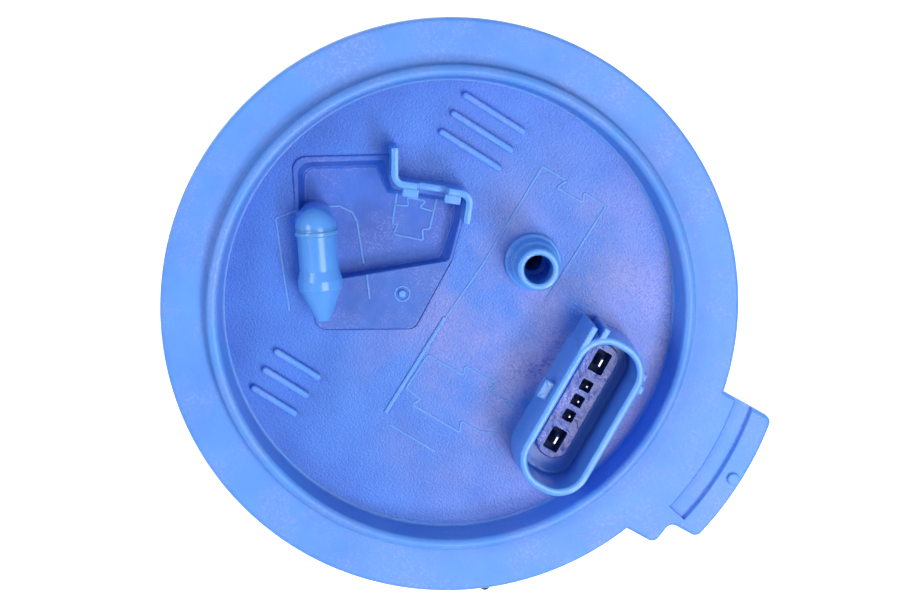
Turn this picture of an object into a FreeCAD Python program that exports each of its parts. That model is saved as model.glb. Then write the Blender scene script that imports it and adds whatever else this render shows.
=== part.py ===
import FreeCAD, Part
import math
import os
from FreeCAD import Rotation, Vector

# Electric in-tank fuel pump module, in millimetres.
# Origin: centre of the flange face that seats on the tank. +Z points out of the tank,
# +X points at the alignment tab, and the electrical socket lies along Y.

# Flange plate and collar
flange_radius = 65.0
flange_thickness = 3.5
flange_edge_round = 0.8
collar_outer_radius = 54.8
collar_wall = 2.6
collar_height = 3.8
recess_depth = 6.0
recess_draft = 1.1
floor_thickness = 2.5
spigot_wall = 2.0
spigot_depth = 9.0
spigot_inset = 1.6
seal_groove_width = 4.1
seal_groove_depth = 1.5

# Alignment tab
tab_radius = 77.6
tab_upper_side = 13.4
tab_lower_side = -18.7
tab_step_reach = 67.4
tab_step_side = -24.6
tab_corner_round = 1.8
tab_groove_margin = 5.2
tab_groove_width = 4.4
tab_groove_depth = 1.4
tab_groove_end_angle = -11.5
tab_pip_place = (75.6, -2.9)
tab_pip_radius = 1.4
tab_pip_height = 0.9

# Fuel feed port
port_place = (11.6, 17.7)
port_height = 13.7
port_radius = 4.75
port_shoulder_radius = 5.5
port_shoulder_height = 7.0
port_foot_radius = 6.4
port_foot_height = 2.0
port_bore_radius = 3.2
port_lower_bore_radius = 2.4
port_tip_chamfer = 0.5
nipple_radius = 3.7
nipple_barb = 0.5
nipple_reach = 12.0

# Closed angled stub
stub_place = (-35.5, 1.3)
stub_direction = -56.3
stub_axis_height = 5.0
stub_radius = 4.4
stub_barb_radius = 4.85
stub_length = 21.0
stub_straight_length = 9.5
stub_tip_radius = 1.5

# Pocket beside the stub and its raised surround
pocket_depth = 4.5
pocket_wall = 2.0
surround_height = 0.7
surround_corners = [(-47.5, 11.8), (-28.7, 23.0), (-24.6, 17.6), (-9.4, 23.2),
                    (-7.4, 17.6), (-4.6, 9.6), (-4.2, -8.7), (-23.4, -19.6), (-39.2, -0.8)]
surround_rounds = [3.0, 0.6, 1.6, 1.6, 0.8, 6.0, 2.4, 2.4, 6.0]
pocket_corners = [(-45.6, 11.3), (-29.0, 21.2), (-24.4, 16.4), (-9.3, 22.0),
                  (-7.5, 17.3), (-5.2, 8.6), (-30.6, -11.6), (-38.2, -0.9)]
pocket_rounds = [2.6, 0.6, 1.6, 1.6, 0.8, 1.2, 1.0, 5.0]
pocket_floor_corners = [(-43.6, 10.6), (-29.4, 19.0), (-24.3, 15.2), (-9.9, 20.6),
                        (-8.3, 16.4), (-6.9, 7.2), (-30.4, -11.4), (-36.8, -1.6)]
pocket_pip_place = (-10.6, -3.0)
pocket_pip_radius = 0.9
pocket_pip_ring = 1.5
pocket_pip_height = 0.8

# Upright bracket at the edge of the pocket
bracket_thickness = 1.6
bracket_height = 10.5
bracket_wall_height = 7.5
bracket_path = [(-29.2, 25.4), (-25.4, 18.6), (-9.4, 24.6), (-7.0, 18.6)]
bracket_round = 2.2
bracket_post_length = 3.4
bracket_short_leg = 3.2
bracket_hook_width = 3.6
bracket_hook_depth = 2.0
bracket_hook_height = 2.6

# Stiffening ribs on the recess floor, over the guide rod sockets
rib_width = 1.6
rib_height = 1.8
rib_pitch = 4.9
rib_tilt = -3.0
rib_length_far = 16.6
rib_length_near = 12.2
rod_far_place = (-13.0, 37.6)
rod_near_place = (-23.6, -33.4)
flow_rib_start = (0.6, -3.1)
flow_rib_end = (-0.4, -28.6)
flow_rib_width = 0.9
flow_rib_height = 0.5

# Electrical socket
socket_place = (35.9, -5.9)
socket_width = 16.4
socket_length = 38.0
socket_round = 7.4
socket_height = 18.0
socket_wall = 1.7
socket_draft = 0.55
socket_floor_height = 1.5
island_place = (35.3, -4.4)
island_width = 7.6
island_length = 29.0
island_height = 5.0
well_depth = 4.2
well_wide = (3.6, 5.4)
well_narrow = (2.7, 2.7)
terminal_pitch = 3.9
terminal_wide_offset = 10.1
blade_width = 2.8
blade_thickness = 0.8
pin_thickness = 0.64
terminal_rise = 1.4
guide_plate_thickness = 1.4
guide_plate_reach = 14.0
guide_slot = 1.3
latch_nub = (1.3, 4.6, 4.5)
clip_block = (1.5, 3.6, 6.0)
inner_socket_width = 11.0
inner_socket_length = 28.0
inner_socket_depth = 9.0
inner_socket_wall = 1.4
terminal_drop = 7.0

# Underside ribs and rod sockets of the flange
under_rib_width = 1.6
under_rib_depth = 3.2
rod_boss_radius = 6.0
rod_boss_depth = 11.0

# Guide rods, springs and travel
rod_radius = 3.0
rod_bottom = -103.0
rod_ring_radius = 4.4
rod_ring_thickness = 0.8
rod_groove_depth = 0.4
slide_clearance = 0.08
travel = 30.0
sleeve_radius = 5.2
sleeve_length = 24.0
spring_wire_radius = 0.6
spring_coil_radius = 4.3
spring_turns = 9.0

# Reservoir cup
cup_radius = 34.0
cup_wall = 1.8
cup_top = -74.0
cup_height = 80.0
cup_floor_thickness = 2.0
foot_height = 3.0
foot_width = 4.0
sleeve_web = 3.0
cup_rib_width = 1.6
cup_rib_depth = 1.0
cup_rib_count = 8
valve_place = (18.6, 18.6)
valve_stem_radius = 1.6
valve_cap_radius = 5.0
valve_hole_radius = 1.1
valve_hole_circle = 3.2
seat_ring_height = 9.0
seat_ring_wall = 1.4

# Reservoir lid and pump holder
lid_thickness = 2.2
lid_overhang = 1.6
lid_skirt = 5.0
lid_clearance = 0.25
holder_wall = 1.5
holder_length = 38.0
holder_slot_width = 7.0
holder_slot_length = 24.0
duct_radius = 4.6
duct_bore = 2.6
duct_rise = 3.8
duct_cap = 0.6
outlet_socket_depth = 8.0
outlet_socket_wall = 1.8
lid_nipple_top = -56.0
wire_slot = (7.0, 5.0)
vent_radius = 3.0
vent_places = [(21.0, -16.0), (-20.0, 16.0)]
spill_hole_radius = 4.0
spill_hole_place = (26.0, 0.0)

# Pump
pump_place = (-2.0, -2.0)
case_radius = 19.0
case_wall = 1.0
case_top = -90.0
case_length = 56.0
crimp_width = 1.6
part_clearance = 0.1
inlet_cover_thickness = 6.4
impeller_thickness = 2.8
impeller_margin = 2.6
impeller_rim = 0.9
vane_length = 2.3
vane_width = 1.8
channel_inset = 2.2
channel_half_width = 1.6
channel_depth = 1.2
impeller_gap = 0.25
impeller_vanes = 24
chamber_plate_thickness = 5.0
suction_offset = 9.5
suction_radius = 5.0
suction_bore = 3.2
suction_reach = 3.5
shaft_radius = 1.5
shaft_clearance = 0.04
armature_margin = 4.8
armature_length = 20.0
armature_slots = 8
winding_inset = 1.8
winding_root = 5.6
winding_width = 2.6
winding_overhang = 3.2
commutator_inset = 4.2
commutator_thickness = 2.4
magnet_gap = 0.6
magnet_angle = 132.0
brush_size = (4.0, 5.0, 6.0)
brush_offset = 6.0
brush_gap = 0.1
brush_spring_radius = 1.6
brush_spring_height = 3.0
brush_spring_turns = 4.0
end_bell_height = 6.0
outlet_radius = 3.6
outlet_bore = 2.5
outlet_rise = 16.0
outlet_end_gap = 0.3
valve_plunger_radius = 2.3
valve_lift = 1.5
pump_terminal_size = (2.8, 0.8, 6.5)
pump_terminal_offset = 11.5
pump_terminal_root = 3.0
isolator_length = 10.0
isolator_foot = 2.2

# Strainer under the pump
strainer_size = (40.0, 26.0, 3.4)
strainer_round = 9.0
strainer_floor_gap = 0.4
strainer_rim = 2.5
mesh_thickness = 0.5
mesh_inset = 0.3

# Pressure regulator on the lid
regulator_distance = 18.0
regulator_radius = 8.0
regulator_height = 11.0
regulator_flange = 1.4
seat_rise = 0.5
seal_section = 0.9

# Corrugated hose between flange and lid
hose_bore = 4.3
hose_wall = 0.7
hose_wave_height = 1.6
hose_wave_pitch = 3.4
hose_cuff = 8.0
clamp_width = 4.0
clamp_thickness = 0.8
clamp_setback = 2.5

# Fuel level sender and float
sender_gap = 0.3
sender_rail_width = 2.0
sender_rail_depth = 2.6
sender_width = 24.0
sender_height = 44.0
sender_thickness = 4.2
sender_tongue = 1.8
rail_lip = 1.2
rail_grip = 1.6
sender_drop = 1.0
pivot_drop = 14.0
card_size = (0.8, 15.0, 20.0)
pivot_boss_radius = 4.0
pivot_boss_height = 2.2
hub_radius = 7.0
hub_thickness = 3.6
lever_width = 6.4
lever_length = 26.0
lever_clip_length = 10.0
lever_clip_lip = 0.8
wire_radius = 1.2
wire_bend = 3.0
arm_length = 80.0
arm_rest_angle = 40.0
arm_plane_gap = 0.2
float_size = (16.0, 34.0, 16.0)
float_round = 4.0
float_gap = 0.5
contact_thickness = 0.25
contact_width = 1.2
contact_spread = 1.2
contact_reach = 14.0
contact_root = 3.0
retainer_radius = 3.2
retainer_thickness = 1.2

# Small amounts used throughout
fused = 0.5
past = 1.0
press = 0.02

# Radii worked out from the sizes above
collar_inner_radius = collar_outer_radius - collar_wall
recess_floor_radius = collar_inner_radius - recess_draft
spigot_radius = collar_outer_radius - spigot_inset
seal_groove_radius = spigot_radius + seal_groove_width
tab_groove_outer_radius = tab_radius - tab_groove_margin
tab_groove_inner_radius = tab_groove_outer_radius - tab_groove_width
case_bore = case_radius - case_wall
impeller_radius = case_bore - impeller_margin
channel_radius = impeller_radius - channel_inset
armature_radius = case_bore - armature_margin
winding_radius = armature_radius - winding_inset
commutator_radius = armature_radius - commutator_inset

# Levels worked out from the sizes above
floor_top = flange_thickness - recess_depth
floor_bottom = floor_top - floor_thickness
collar_top = flange_thickness + collar_height
pocket_floor = floor_top - pocket_depth
pocket_bottom = pocket_floor - pocket_wall
port_top = floor_top + port_height
nipple_bottom = floor_bottom - nipple_reach
socket_top = floor_top + socket_height
socket_floor = floor_top + socket_floor_height
island_top = socket_floor + island_height
rod_boss_bottom = floor_bottom - rod_boss_depth
cup_bottom = cup_top - cup_height
cup_floor = cup_bottom + cup_floor_thickness
foot_bottom = cup_bottom - foot_height
sleeve_bottom = cup_top - sleeve_length
lid_top = cup_top + lid_thickness
duct_level = lid_top + duct_rise
duct_top = duct_level + duct_radius + duct_cap
regulator_seat = duct_level + duct_bore + seat_rise
case_bottom = case_top - case_length
inlet_cover_bottom = case_bottom + case_wall
impeller_bottom = inlet_cover_bottom + inlet_cover_thickness - impeller_thickness - 2 * impeller_gap
impeller_top = impeller_bottom + impeller_thickness
chamber_bottom = inlet_cover_bottom + inlet_cover_thickness
chamber_top = chamber_bottom + chamber_plate_thickness
end_bell_top = case_top + end_bell_height
outlet_top = end_bell_top + outlet_rise - end_bell_height
sender_top = cup_top - lid_skirt - sender_drop
sender_face = cup_radius + sender_rail_depth
sender_back = sender_face + sender_gap
sender_front = sender_back + sender_thickness
pivot_level = sender_top - pivot_drop
arm_plane = sender_front + sender_gap + hub_thickness + wire_bend + arm_plane_gap
float_side = arm_plane + wire_bend + float_gap


def at(place, z):
    return Vector(place[0], place[1], z)


def cylinder(place, bottom, top, radius):
    return Part.makeCylinder(radius, top - bottom, at(place, bottom))


def tube(place, bottom, top, outer, inner):
    return cylinder(place, bottom, top, outer).cut(cylinder(place, bottom, top, inner))


def block(low, high):
    size = [high[i] - low[i] for i in range(3)]
    return Part.makeBox(size[0], size[1], size[2], Vector(*low))


def rounded_wire(corners, rounds, z):
    """Closed outline whose corners are tangent arcs."""
    count = len(corners)
    edges = []
    starts = []
    ends = []
    arcs = []
    for i in range(count):
        corner = at(corners[i], z)
        before = at(corners[i - 1], z) - corner
        after = at(corners[(i + 1) % count], z) - corner
        before.normalize()
        after.normalize()
        half = before.getAngle(after) / 2
        reach = rounds[i] / math.tan(half)
        first = corner + before * reach
        last = corner + after * reach
        middle_way = before + after
        middle_way.normalize()
        centre = corner + middle_way * (rounds[i] / math.sin(half))
        starts.append(first)
        ends.append(last)
        arcs.append(centre - middle_way * rounds[i])
    for i in range(count):
        if rounds[i] > 0:
            edges.append(Part.Arc(starts[i], arcs[i], ends[i]).toShape())
        following = starts[(i + 1) % count]
        if (following - ends[i]).Length > 1e-6:
            edges.append(Part.LineSegment(ends[i], following).toShape())
    return Part.Wire(edges)


def rounded_prism(corners, rounds, bottom, top):
    face = Part.Face(rounded_wire(corners, rounds, bottom))
    return face.extrude(Vector(0, 0, top - bottom))


def tapered_prism(low_corners, low_rounds, bottom, high_corners, high_rounds, top):
    low = rounded_wire(low_corners, low_rounds, bottom)
    high = rounded_wire(high_corners, high_rounds, top)
    return Part.makeLoft([low, high], True, True)


def rectangle(place, width, length):
    x = width / 2
    y = length / 2
    return [(place[0] - x, place[1] - y), (place[0] + x, place[1] - y),
            (place[0] + x, place[1] + y), (place[0] - x, place[1] + y)]


def rounded_block(place, width, length, rounding, bottom, top):
    return rounded_prism(rectangle(place, width, length), [rounding] * 4, bottom, top)


def revolved(profile, place):
    """Solid of revolution about a vertical axis, from (radius, z) corners."""
    points = [Vector(r, 0, z) for r, z in profile]
    face = Part.Face(Part.makePolygon(points + points[:1]))
    solid = face.revolve(Vector(0, 0, 0), Vector(0, 0, 1), 360)
    solid.translate(at(place, 0))
    return solid


def strip_outline(path, width):
    """Corners of a band of even width that follows a bent line."""
    left = []
    right = []
    points = [Vector(x, y, 0) for x, y in path]
    for i in range(len(points)):
        before = points[i] - points[i - 1] if i else points[1] - points[0]
        after = points[i + 1] - points[i] if i + 1 < len(points) else before
        before.normalize()
        after.normalize()
        across = Vector(-before.y - after.y, before.x + after.x, 0)
        across.normalize()
        reach = width / 2 / abs(across.dot(Vector(-after.y, after.x, 0)))
        left.append(points[i] + across * reach)
        right.append(points[i] - across * reach)
    loop = left + right[::-1]
    return [(p.x, p.y) for p in loop]


def coil(place, bottom, top, coil_radius, wire, turns):
    height = top - bottom - 2 * wire
    helix = Part.makeHelix(height / turns, height, coil_radius)
    ring = Part.Circle(Vector(coil_radius, 0, 0), Vector(0, 1, 0), wire).toShape()
    solid = Part.Wire(helix).makePipeShell([Part.Wire(ring)], True, True)
    solid.translate(at(place, bottom + wire))
    return solid


def bent_rod(points, bend, radius):
    """Round rod along straight runs joined by tangent arcs."""
    edges = []
    start = points[0]
    for i in range(1, len(points) - 1):
        before = points[i - 1] - points[i]
        after = points[i + 1] - points[i]
        before.normalize()
        after.normalize()
        half = before.getAngle(after) / 2
        reach = bend / math.tan(half)
        middle_way = before + after
        middle_way.normalize()
        centre = points[i] + middle_way * (bend / math.sin(half))
        first = points[i] + before * reach
        last = points[i] + after * reach
        edges.append(Part.LineSegment(start, first).toShape())
        edges.append(Part.Arc(first, centre - middle_way * bend, last).toShape())
        start = last
    edges.append(Part.LineSegment(start, points[-1]).toShape())
    path = Part.Wire(edges)
    ring = Part.Circle(points[0], points[1] - points[0], radius).toShape()
    return path.makePipeShell([Part.Wire(ring)], True, False)


def write(name, shape):
    shape.exportStep("parts/" + name + ".step")
    print(name, len(shape.Solids), round(shape.Volume, 1), shape.isValid())


def group(solids):
    return Part.makeCompound(solids)


# Flange moulding

def flange_plate():
    """Disc, collar, recess and spigot as one turned profile."""
    crown = (collar_outer_radius - collar_inner_radius) / 2
    shoulder = collar_top - crown
    edge = flange_edge_round
    arc_start = Vector(collar_inner_radius, 0, shoulder)
    arc_middle = Vector(collar_inner_radius + crown, 0, collar_top)
    arc_end = Vector(collar_outer_radius, 0, shoulder)
    outer = [(collar_outer_radius, flange_thickness), (flange_radius - edge, flange_thickness),
             (flange_radius, flange_thickness - edge), (flange_radius, edge / 2),
             (flange_radius - edge / 2, 0), (seal_groove_radius, 0),
             (seal_groove_radius, seal_groove_depth), (spigot_radius, seal_groove_depth),
             (spigot_radius, -spigot_depth), (spigot_radius - spigot_wall, -spigot_depth),
             (spigot_radius - spigot_wall, floor_bottom), (0, floor_bottom), (0, floor_top),
             (recess_floor_radius, floor_top), (collar_inner_radius, shoulder)]
    points = [arc_end] + [Vector(r, 0, z) for r, z in outer]
    edges = [Part.Arc(arc_start, arc_middle, arc_end).toShape()]
    for first, last in zip(points, points[1:]):
        edges.append(Part.LineSegment(first, last).toShape())
    return Part.Face(Part.Wire(edges)).revolve(Vector(0, 0, 0), Vector(0, 0, 1), 360)


def alignment_tab():
    """Stepped tab with its outer side on an arc about the flange axis."""
    inside = flange_radius - 5
    corner_x = math.sqrt(tab_radius ** 2 - tab_upper_side ** 2)
    lower_x = math.sqrt(tab_radius ** 2 - tab_lower_side ** 2)
    wide = tab_radius + 5
    corners = [(inside, tab_step_side), (tab_step_reach, tab_step_side),
               (tab_step_reach + 0.9, tab_lower_side), (wide, tab_lower_side),
               (wide, tab_upper_side), (inside, tab_upper_side)]
    rounds = [0, tab_corner_round, tab_corner_round, 0, 0, 0]
    blank = rounded_prism(corners, rounds, 0, flange_thickness)
    blank = blank.common(cylinder((0, 0), 0, flange_thickness, tab_radius))
    tips = [(corner_x, tab_upper_side), (lower_x, tab_lower_side)]
    return rounded_uprights(blank, tips, tab_corner_round)


def rounded_uprights(solid, places, radius):
    """Fillet of the vertical edges that stand at the given places."""
    chosen = []
    for edge in solid.Edges:
        box = edge.BoundBox
        upright = box.XLength < 0.01 and box.YLength < 0.01 and box.ZLength > 0.5
        middle = box.Center
        near = [p for p in places if math.hypot(middle.x - p[0], middle.y - p[1]) < 0.2]
        if upright and near:
            chosen.append(edge)
    return solid.makeFillet(radius, chosen)


def tab_groove():
    """Curved groove that runs out through the upper side of the tab."""
    top = flange_thickness + 1
    bottom = flange_thickness - tab_groove_depth
    ring = tube((0, 0), bottom, top, tab_groove_outer_radius, tab_groove_inner_radius)
    start = Rotation(Vector(0, 0, 1), tab_groove_end_angle).multVec(Vector(1, 0, 0))
    reach = tab_radius + 5
    far = tab_upper_side + 8
    wedge = [Vector(0, 0, bottom), Vector(start.x, start.y, 0) * reach + Vector(0, 0, bottom),
             Vector(reach, far, bottom), Vector(0, far, bottom)]
    sector = Part.Face(Part.makePolygon(wedge + wedge[:1])).extrude(Vector(0, 0, top - bottom))
    end_radius = (tab_groove_outer_radius - tab_groove_inner_radius) / 2
    middle = start * (tab_groove_inner_radius + end_radius)
    end = cylinder((middle.x, middle.y), bottom, top, end_radius)
    return ring.common(sector).fuse(end)


def feed_port():
    """Stepped pipe stub above the floor and hose nipple with barbs below it."""
    foot = floor_top + port_foot_height
    shoulder = floor_top + port_shoulder_height
    profile = [(0, nipple_bottom), (nipple_radius - 0.4, nipple_bottom)]
    step = nipple_reach / 4
    for i in range(3):
        level = nipple_bottom + i * step
        profile += [(nipple_radius + nipple_barb, level + step * 0.6), (nipple_radius, level + step * 0.7)]
    profile += [(nipple_radius, floor_bottom), (port_foot_radius, floor_bottom),
                (port_foot_radius, foot - 0.5), (port_foot_radius - 0.5, foot),
                (port_shoulder_radius, foot), (port_shoulder_radius, shoulder - 0.5),
                (port_radius, shoulder), (port_radius, port_top - port_tip_chamfer),
                (port_radius - port_tip_chamfer, port_top), (0, port_top)]
    return revolved(profile, port_place)


def feed_bore():
    narrow = floor_top - 1
    profile = [(0, nipple_bottom - past), (port_lower_bore_radius, nipple_bottom - past),
               (port_lower_bore_radius, narrow - 1), (port_bore_radius, narrow),
               (port_bore_radius, port_top + past), (0, port_top + past)]
    return revolved(profile, port_place)


def closed_stub():
    """Riser with a ball top and a level pipe with a barb and a closed cone tip."""
    riser = cylinder(stub_place, pocket_floor - fused, stub_axis_height, stub_radius + 0.1)
    ball = Part.makeSphere(stub_radius + 0.1, at(stub_place, stub_axis_height))
    barb = stub_straight_length + 3.0
    after = barb + 1.4
    cone_end = stub_length - 0.8
    profile = [(0, 0), (stub_radius, 0), (stub_radius, stub_straight_length),
               (stub_barb_radius, barb), (stub_barb_radius, after),
               (stub_tip_radius + 0.3, cone_end), (stub_tip_radius - 0.5, stub_length), (0, stub_length)]
    pipe = revolved(profile, (0, 0))
    pipe.rotate(Vector(0, 0, 0), Vector(0, 1, 0), 90)
    pipe.rotate(Vector(0, 0, 0), Vector(0, 0, 1), stub_direction)
    pipe.translate(at(stub_place, stub_axis_height))
    return riser.fuse([ball, pipe])


def pocket_surround():
    """Raised surround on the floor and the wall that carries the pocket below it."""
    raised = rounded_prism(surround_corners, surround_rounds, floor_bottom, floor_top + surround_height)
    below = tapered_prism(pocket_floor_corners, pocket_rounds, pocket_bottom,
                          surround_corners[:6] + [(-31.4, -12.6), (-39.2, -0.8)],
                          pocket_rounds, floor_bottom)
    return [raised, below]


def pocket_space():
    low = tapered_prism(pocket_floor_corners, pocket_rounds, pocket_floor,
                        pocket_corners, pocket_rounds, floor_top + surround_height)
    above = rounded_prism(pocket_corners, pocket_rounds, floor_top + surround_height, floor_top + 2)
    return low.fuse(above)


def bracket():
    """Upright wall with a tall post at each bend and a hook on each post."""
    base = pocket_floor - fused
    low = rounded_prism(strip_outline(bracket_path, bracket_thickness),
                        [0, bracket_round, bracket_round, 0, 0] + [bracket_round - 1, bracket_round - 1, 0],
                        base, floor_top + bracket_wall_height)
    points = [Vector(x, y, 0) for x, y in bracket_path]
    along = points[2] - points[1]
    along.normalize()
    inward = Vector(along.y, -along.x, 0)
    top = floor_top + bracket_height
    posts = []
    for corner, way in ((points[1], along), (points[2], along * -1)):
        turn = points[0] - points[1] if way is along else points[3] - points[2]
        turn.normalize()
        far = points[0] if way is along else corner + turn * bracket_short_leg
        leg = [far, corner, corner + way * bracket_post_length]
        outline = strip_outline([(p.x, p.y) for p in leg], bracket_thickness)
        rounds = [0, bracket_round, 0, 0, bracket_round - 1, 0]
        if way is not along:
            rounds = [0, bracket_round - 1, 0, 0, bracket_round, 0]
        posts.append(rounded_prism(outline, rounds, base, top))
        start = corner + way * 2.0 + inward * (bracket_thickness / 2 - 0.2)
        hook = [start, start + way * bracket_hook_width,
                start + way * bracket_hook_width + inward * bracket_hook_depth,
                start + inward * bracket_hook_depth]
        corners = [(p.x, p.y) for p in hook]
        posts.append(rounded_prism(corners, [0.0] * 4, top - bracket_hook_height, top))
    return [low] + posts


def floor_ribs():
    """Two groups of three ribs that stiffen the floor over the rod sockets."""
    ribs = []
    for place, length in ((rod_far_place, rib_length_far), (rod_near_place, rib_length_near)):
        for i in (-1, 0, 1):
            rib = rounded_block((0, i * rib_pitch), length, rib_width, rib_width / 2 - 0.05,
                                floor_bottom, floor_top + rib_height)
            rib.rotate(Vector(0, 0, 0), Vector(0, 0, 1), rib_tilt)
            rib.translate(at(place, 0))
            ribs.append(rib)
    path = [flow_rib_start, flow_rib_end]
    ribs.append(rounded_prism(strip_outline(path, flow_rib_width), [0] * 4,
                              floor_bottom, floor_top + flow_rib_height))
    return ribs


def socket_shell():
    """Tall drafted shroud with guide plates, latch nub and locking block."""
    foot = socket_draft * 2
    low = rectangle(socket_place, socket_width + foot, socket_length + foot)
    high = rectangle(socket_place, socket_width, socket_length)
    low_round = [socket_round + socket_draft] * 4
    shell = tapered_prism(low, low_round, floor_bottom, high, [socket_round] * 4, socket_top)
    left = socket_place[0] - socket_width / 2
    far_end = socket_place[1] + socket_length / 2
    start = far_end - socket_round - 2
    plates = []
    for offset in (0.0, guide_plate_thickness + guide_slot):
        reach = guide_plate_reach - 1.0 if offset == 0 else guide_plate_reach
        low_corner = (left + offset, start, floor_bottom)
        high_corner = (left + offset + guide_plate_thickness, reach, socket_top)
        plates.append(block(low_corner, high_corner))
    nub_level = floor_top + socket_height * 0.55
    nub = block((left - latch_nub[0], socket_place[1] - latch_nub[1] / 2 + 1, nub_level),
                (left + 1, socket_place[1] + latch_nub[1] / 2 + 1, nub_level + latch_nub[2]))
    right = socket_place[0] + socket_width / 2
    lock = block((right - 1.5, far_end - socket_round - clip_block[1] + 2, socket_top - clip_block[2]),
                 (right + clip_block[0] - 0.6, far_end - socket_round + 2, socket_top - 1.5))
    return [shell, nub, lock] + plates


def socket_cavity():
    width = socket_width - 2 * socket_wall
    length = socket_length - 2 * socket_wall
    return rounded_block(socket_place, width, length, socket_round - socket_wall,
                         socket_floor, socket_top + past)


def terminal_rows():
    """Places of the two power and three signal terminals along the socket."""
    wide = [(island_place[0], island_place[1] + s * terminal_wide_offset) for s in (1, -1)]
    narrow = [(island_place[0], island_place[1] + i * terminal_pitch) for i in (1, 0, -1)]
    return wide, narrow


def socket_island():
    """Raised island in the socket with a well round each terminal."""
    island = rounded_block(island_place, island_width, island_length, island_width / 2 - 0.05,
                           socket_floor - fused, island_top)
    wide, narrow = terminal_rows()
    wells = []
    for places, size in ((wide, well_wide), (narrow, well_narrow)):
        for place in places:
            wells.append(rounded_block(place, size[0], size[1], 0.4, island_top - well_depth,
                                       island_top + past))
    return island.cut(wells)


def terminal_slots():
    wide, narrow = terminal_rows()
    slots = []
    for place in wide:
        slots.append(terminal(place, blade_thickness, blade_width, 0.0))
    for place in narrow:
        slots.append(terminal(place, pin_thickness, pin_thickness, 0.0))
    return slots


def terminal(place, thickness, width, tip):
    """Straight blade through the floor, with a pointed tip at both ends."""
    top = island_top + terminal_rise
    bottom = floor_bottom - terminal_drop
    middle = block((place[0] - thickness / 2, place[1] - width / 2, bottom + tip),
                   (place[0] + thickness / 2, place[1] + width / 2, top - tip))
    if tip == 0:
        return middle
    full = rectangle(place, thickness, width)
    small = rectangle(place, thickness * 0.5, width * 0.6)
    upper = tapered_prism(full, [0] * 4, top - tip, small, [0] * 4, top)
    lower = tapered_prism(small, [0] * 4, bottom, full, [0] * 4, bottom + tip)
    return middle.fuse([upper, lower]).removeSplitter()


def under_flange():
    """Rod sockets, inner socket and stiffening ribs below the floor."""
    bodies = []
    for place in (rod_far_place, rod_near_place):
        bodies.append(cylinder(place, rod_boss_bottom, floor_bottom + fused, rod_boss_radius))
    bottom = floor_bottom - inner_socket_depth
    outer = rounded_block(island_place, inner_socket_width, inner_socket_length, 2.0,
                          bottom, floor_bottom + fused)
    inner = rounded_block(island_place, inner_socket_width - 2 * inner_socket_wall,
                          inner_socket_length - 2 * inner_socket_wall, 0.8, bottom - past, floor_bottom)
    bodies.append(outer.cut(inner))
    reach = spigot_radius - spigot_wall / 2
    for angle in (-95, -68, 30, 82, 140, 165, -150):
        rib = block((12, -under_rib_width / 2, floor_bottom - under_rib_depth),
                    (reach, under_rib_width / 2, floor_bottom + fused))
        rib.rotate(Vector(0, 0, 0), Vector(0, 0, 1), angle)
        bodies.append(rib)
    return bodies


def make_flange():
    body = flange_plate().fuse(alignment_tab()).removeSplitter()
    pieces = [feed_port()] + pocket_surround() + floor_ribs() + socket_shell() + under_flange()
    pieces.append(cylinder(tab_pip_place, flange_thickness - 0.5,
                           flange_thickness + tab_pip_height, tab_pip_radius))
    body = body.fuse(pieces)
    body = body.cut([socket_cavity(), pocket_space(), tab_groove()])
    pip_top = floor_top + surround_height
    ring = tube(pocket_pip_place, pip_top - 0.5, pip_top + past, pocket_pip_ring, pocket_pip_radius)
    pip = cylinder(pocket_pip_place, pip_top - 0.6, pip_top + pocket_pip_height, pocket_pip_radius)
    body = body.cut(ring).fuse([pip, closed_stub(), socket_island()] + bracket())
    rods = []
    for place in (rod_far_place, rod_near_place):
        rods.append(cylinder(place, rod_boss_bottom - past, floor_bottom - fused, rod_radius))
    return body.cut([feed_bore()] + rods + terminal_slots()).removeSplitter()


def make_seal():
    """Moulded ring in the flange groove that stands proud of the seating face."""
    inner = spigot_radius + part_clearance
    outer = seal_groove_radius - 2 * part_clearance
    middle = (inner + outer) / 2
    profile = [(inner, seal_groove_depth), (inner, -1.2), (inner + 0.7, -1.9), (middle - 0.4, -1.9),
               (middle, -1.3), (middle + 0.4, -1.9), (outer - 0.7, -1.9), (outer, -1.2),
               (outer, seal_groove_depth)]
    return revolved(profile, (0, 0))


def make_terminals():
    wide, narrow = terminal_rows()
    blades = [terminal(place, blade_thickness, blade_width, 1.0) for place in wide]
    pins = [terminal(place, pin_thickness, pin_thickness, 0.8) for place in narrow]
    return group(blades), group(pins)


# Guide rods and springs

def ring_level():
    return sleeve_bottom - 0.3 - rod_ring_thickness


def make_rod(place):
    level = ring_level()
    inner = rod_radius - rod_groove_depth
    profile = [(0, rod_bottom), (rod_radius - 0.6, rod_bottom), (rod_radius, rod_bottom + 0.6),
               (rod_radius, level), (inner, level), (inner, level + rod_ring_thickness),
               (rod_radius, level + rod_ring_thickness), (rod_radius, floor_bottom - fused),
               (0, floor_bottom - fused)]
    return revolved(profile, place)


def make_rod_rings():
    """Open retaining rings snapped into the rod grooves."""
    rings = []
    level = ring_level()
    inner = rod_radius - rod_groove_depth
    for place in (rod_far_place, rod_near_place):
        ring = tube(place, level, level + rod_ring_thickness, rod_ring_radius, inner)
        mouth = block((place[0] - inner * 0.8, place[1], level - 1),
                      (place[0] + inner * 0.8, place[1] + rod_ring_radius + 1, level + 2))
        rings.append(ring.cut(mouth))
    return group(rings)


def make_spring(place):
    return coil(place, cup_top, rod_boss_bottom, spring_coil_radius, spring_wire_radius, spring_turns)


# Reservoir

def sleeve_web_block(place):
    length = math.hypot(place[0], place[1])
    web = block((cup_radius - cup_wall / 2, -sleeve_web / 2, sleeve_bottom),
                (length, sleeve_web / 2, cup_top - lid_skirt - 1))
    web.rotate(Vector(0, 0, 0), Vector(0, 0, 1), math.degrees(math.atan2(place[1], place[0])))
    return web


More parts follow.
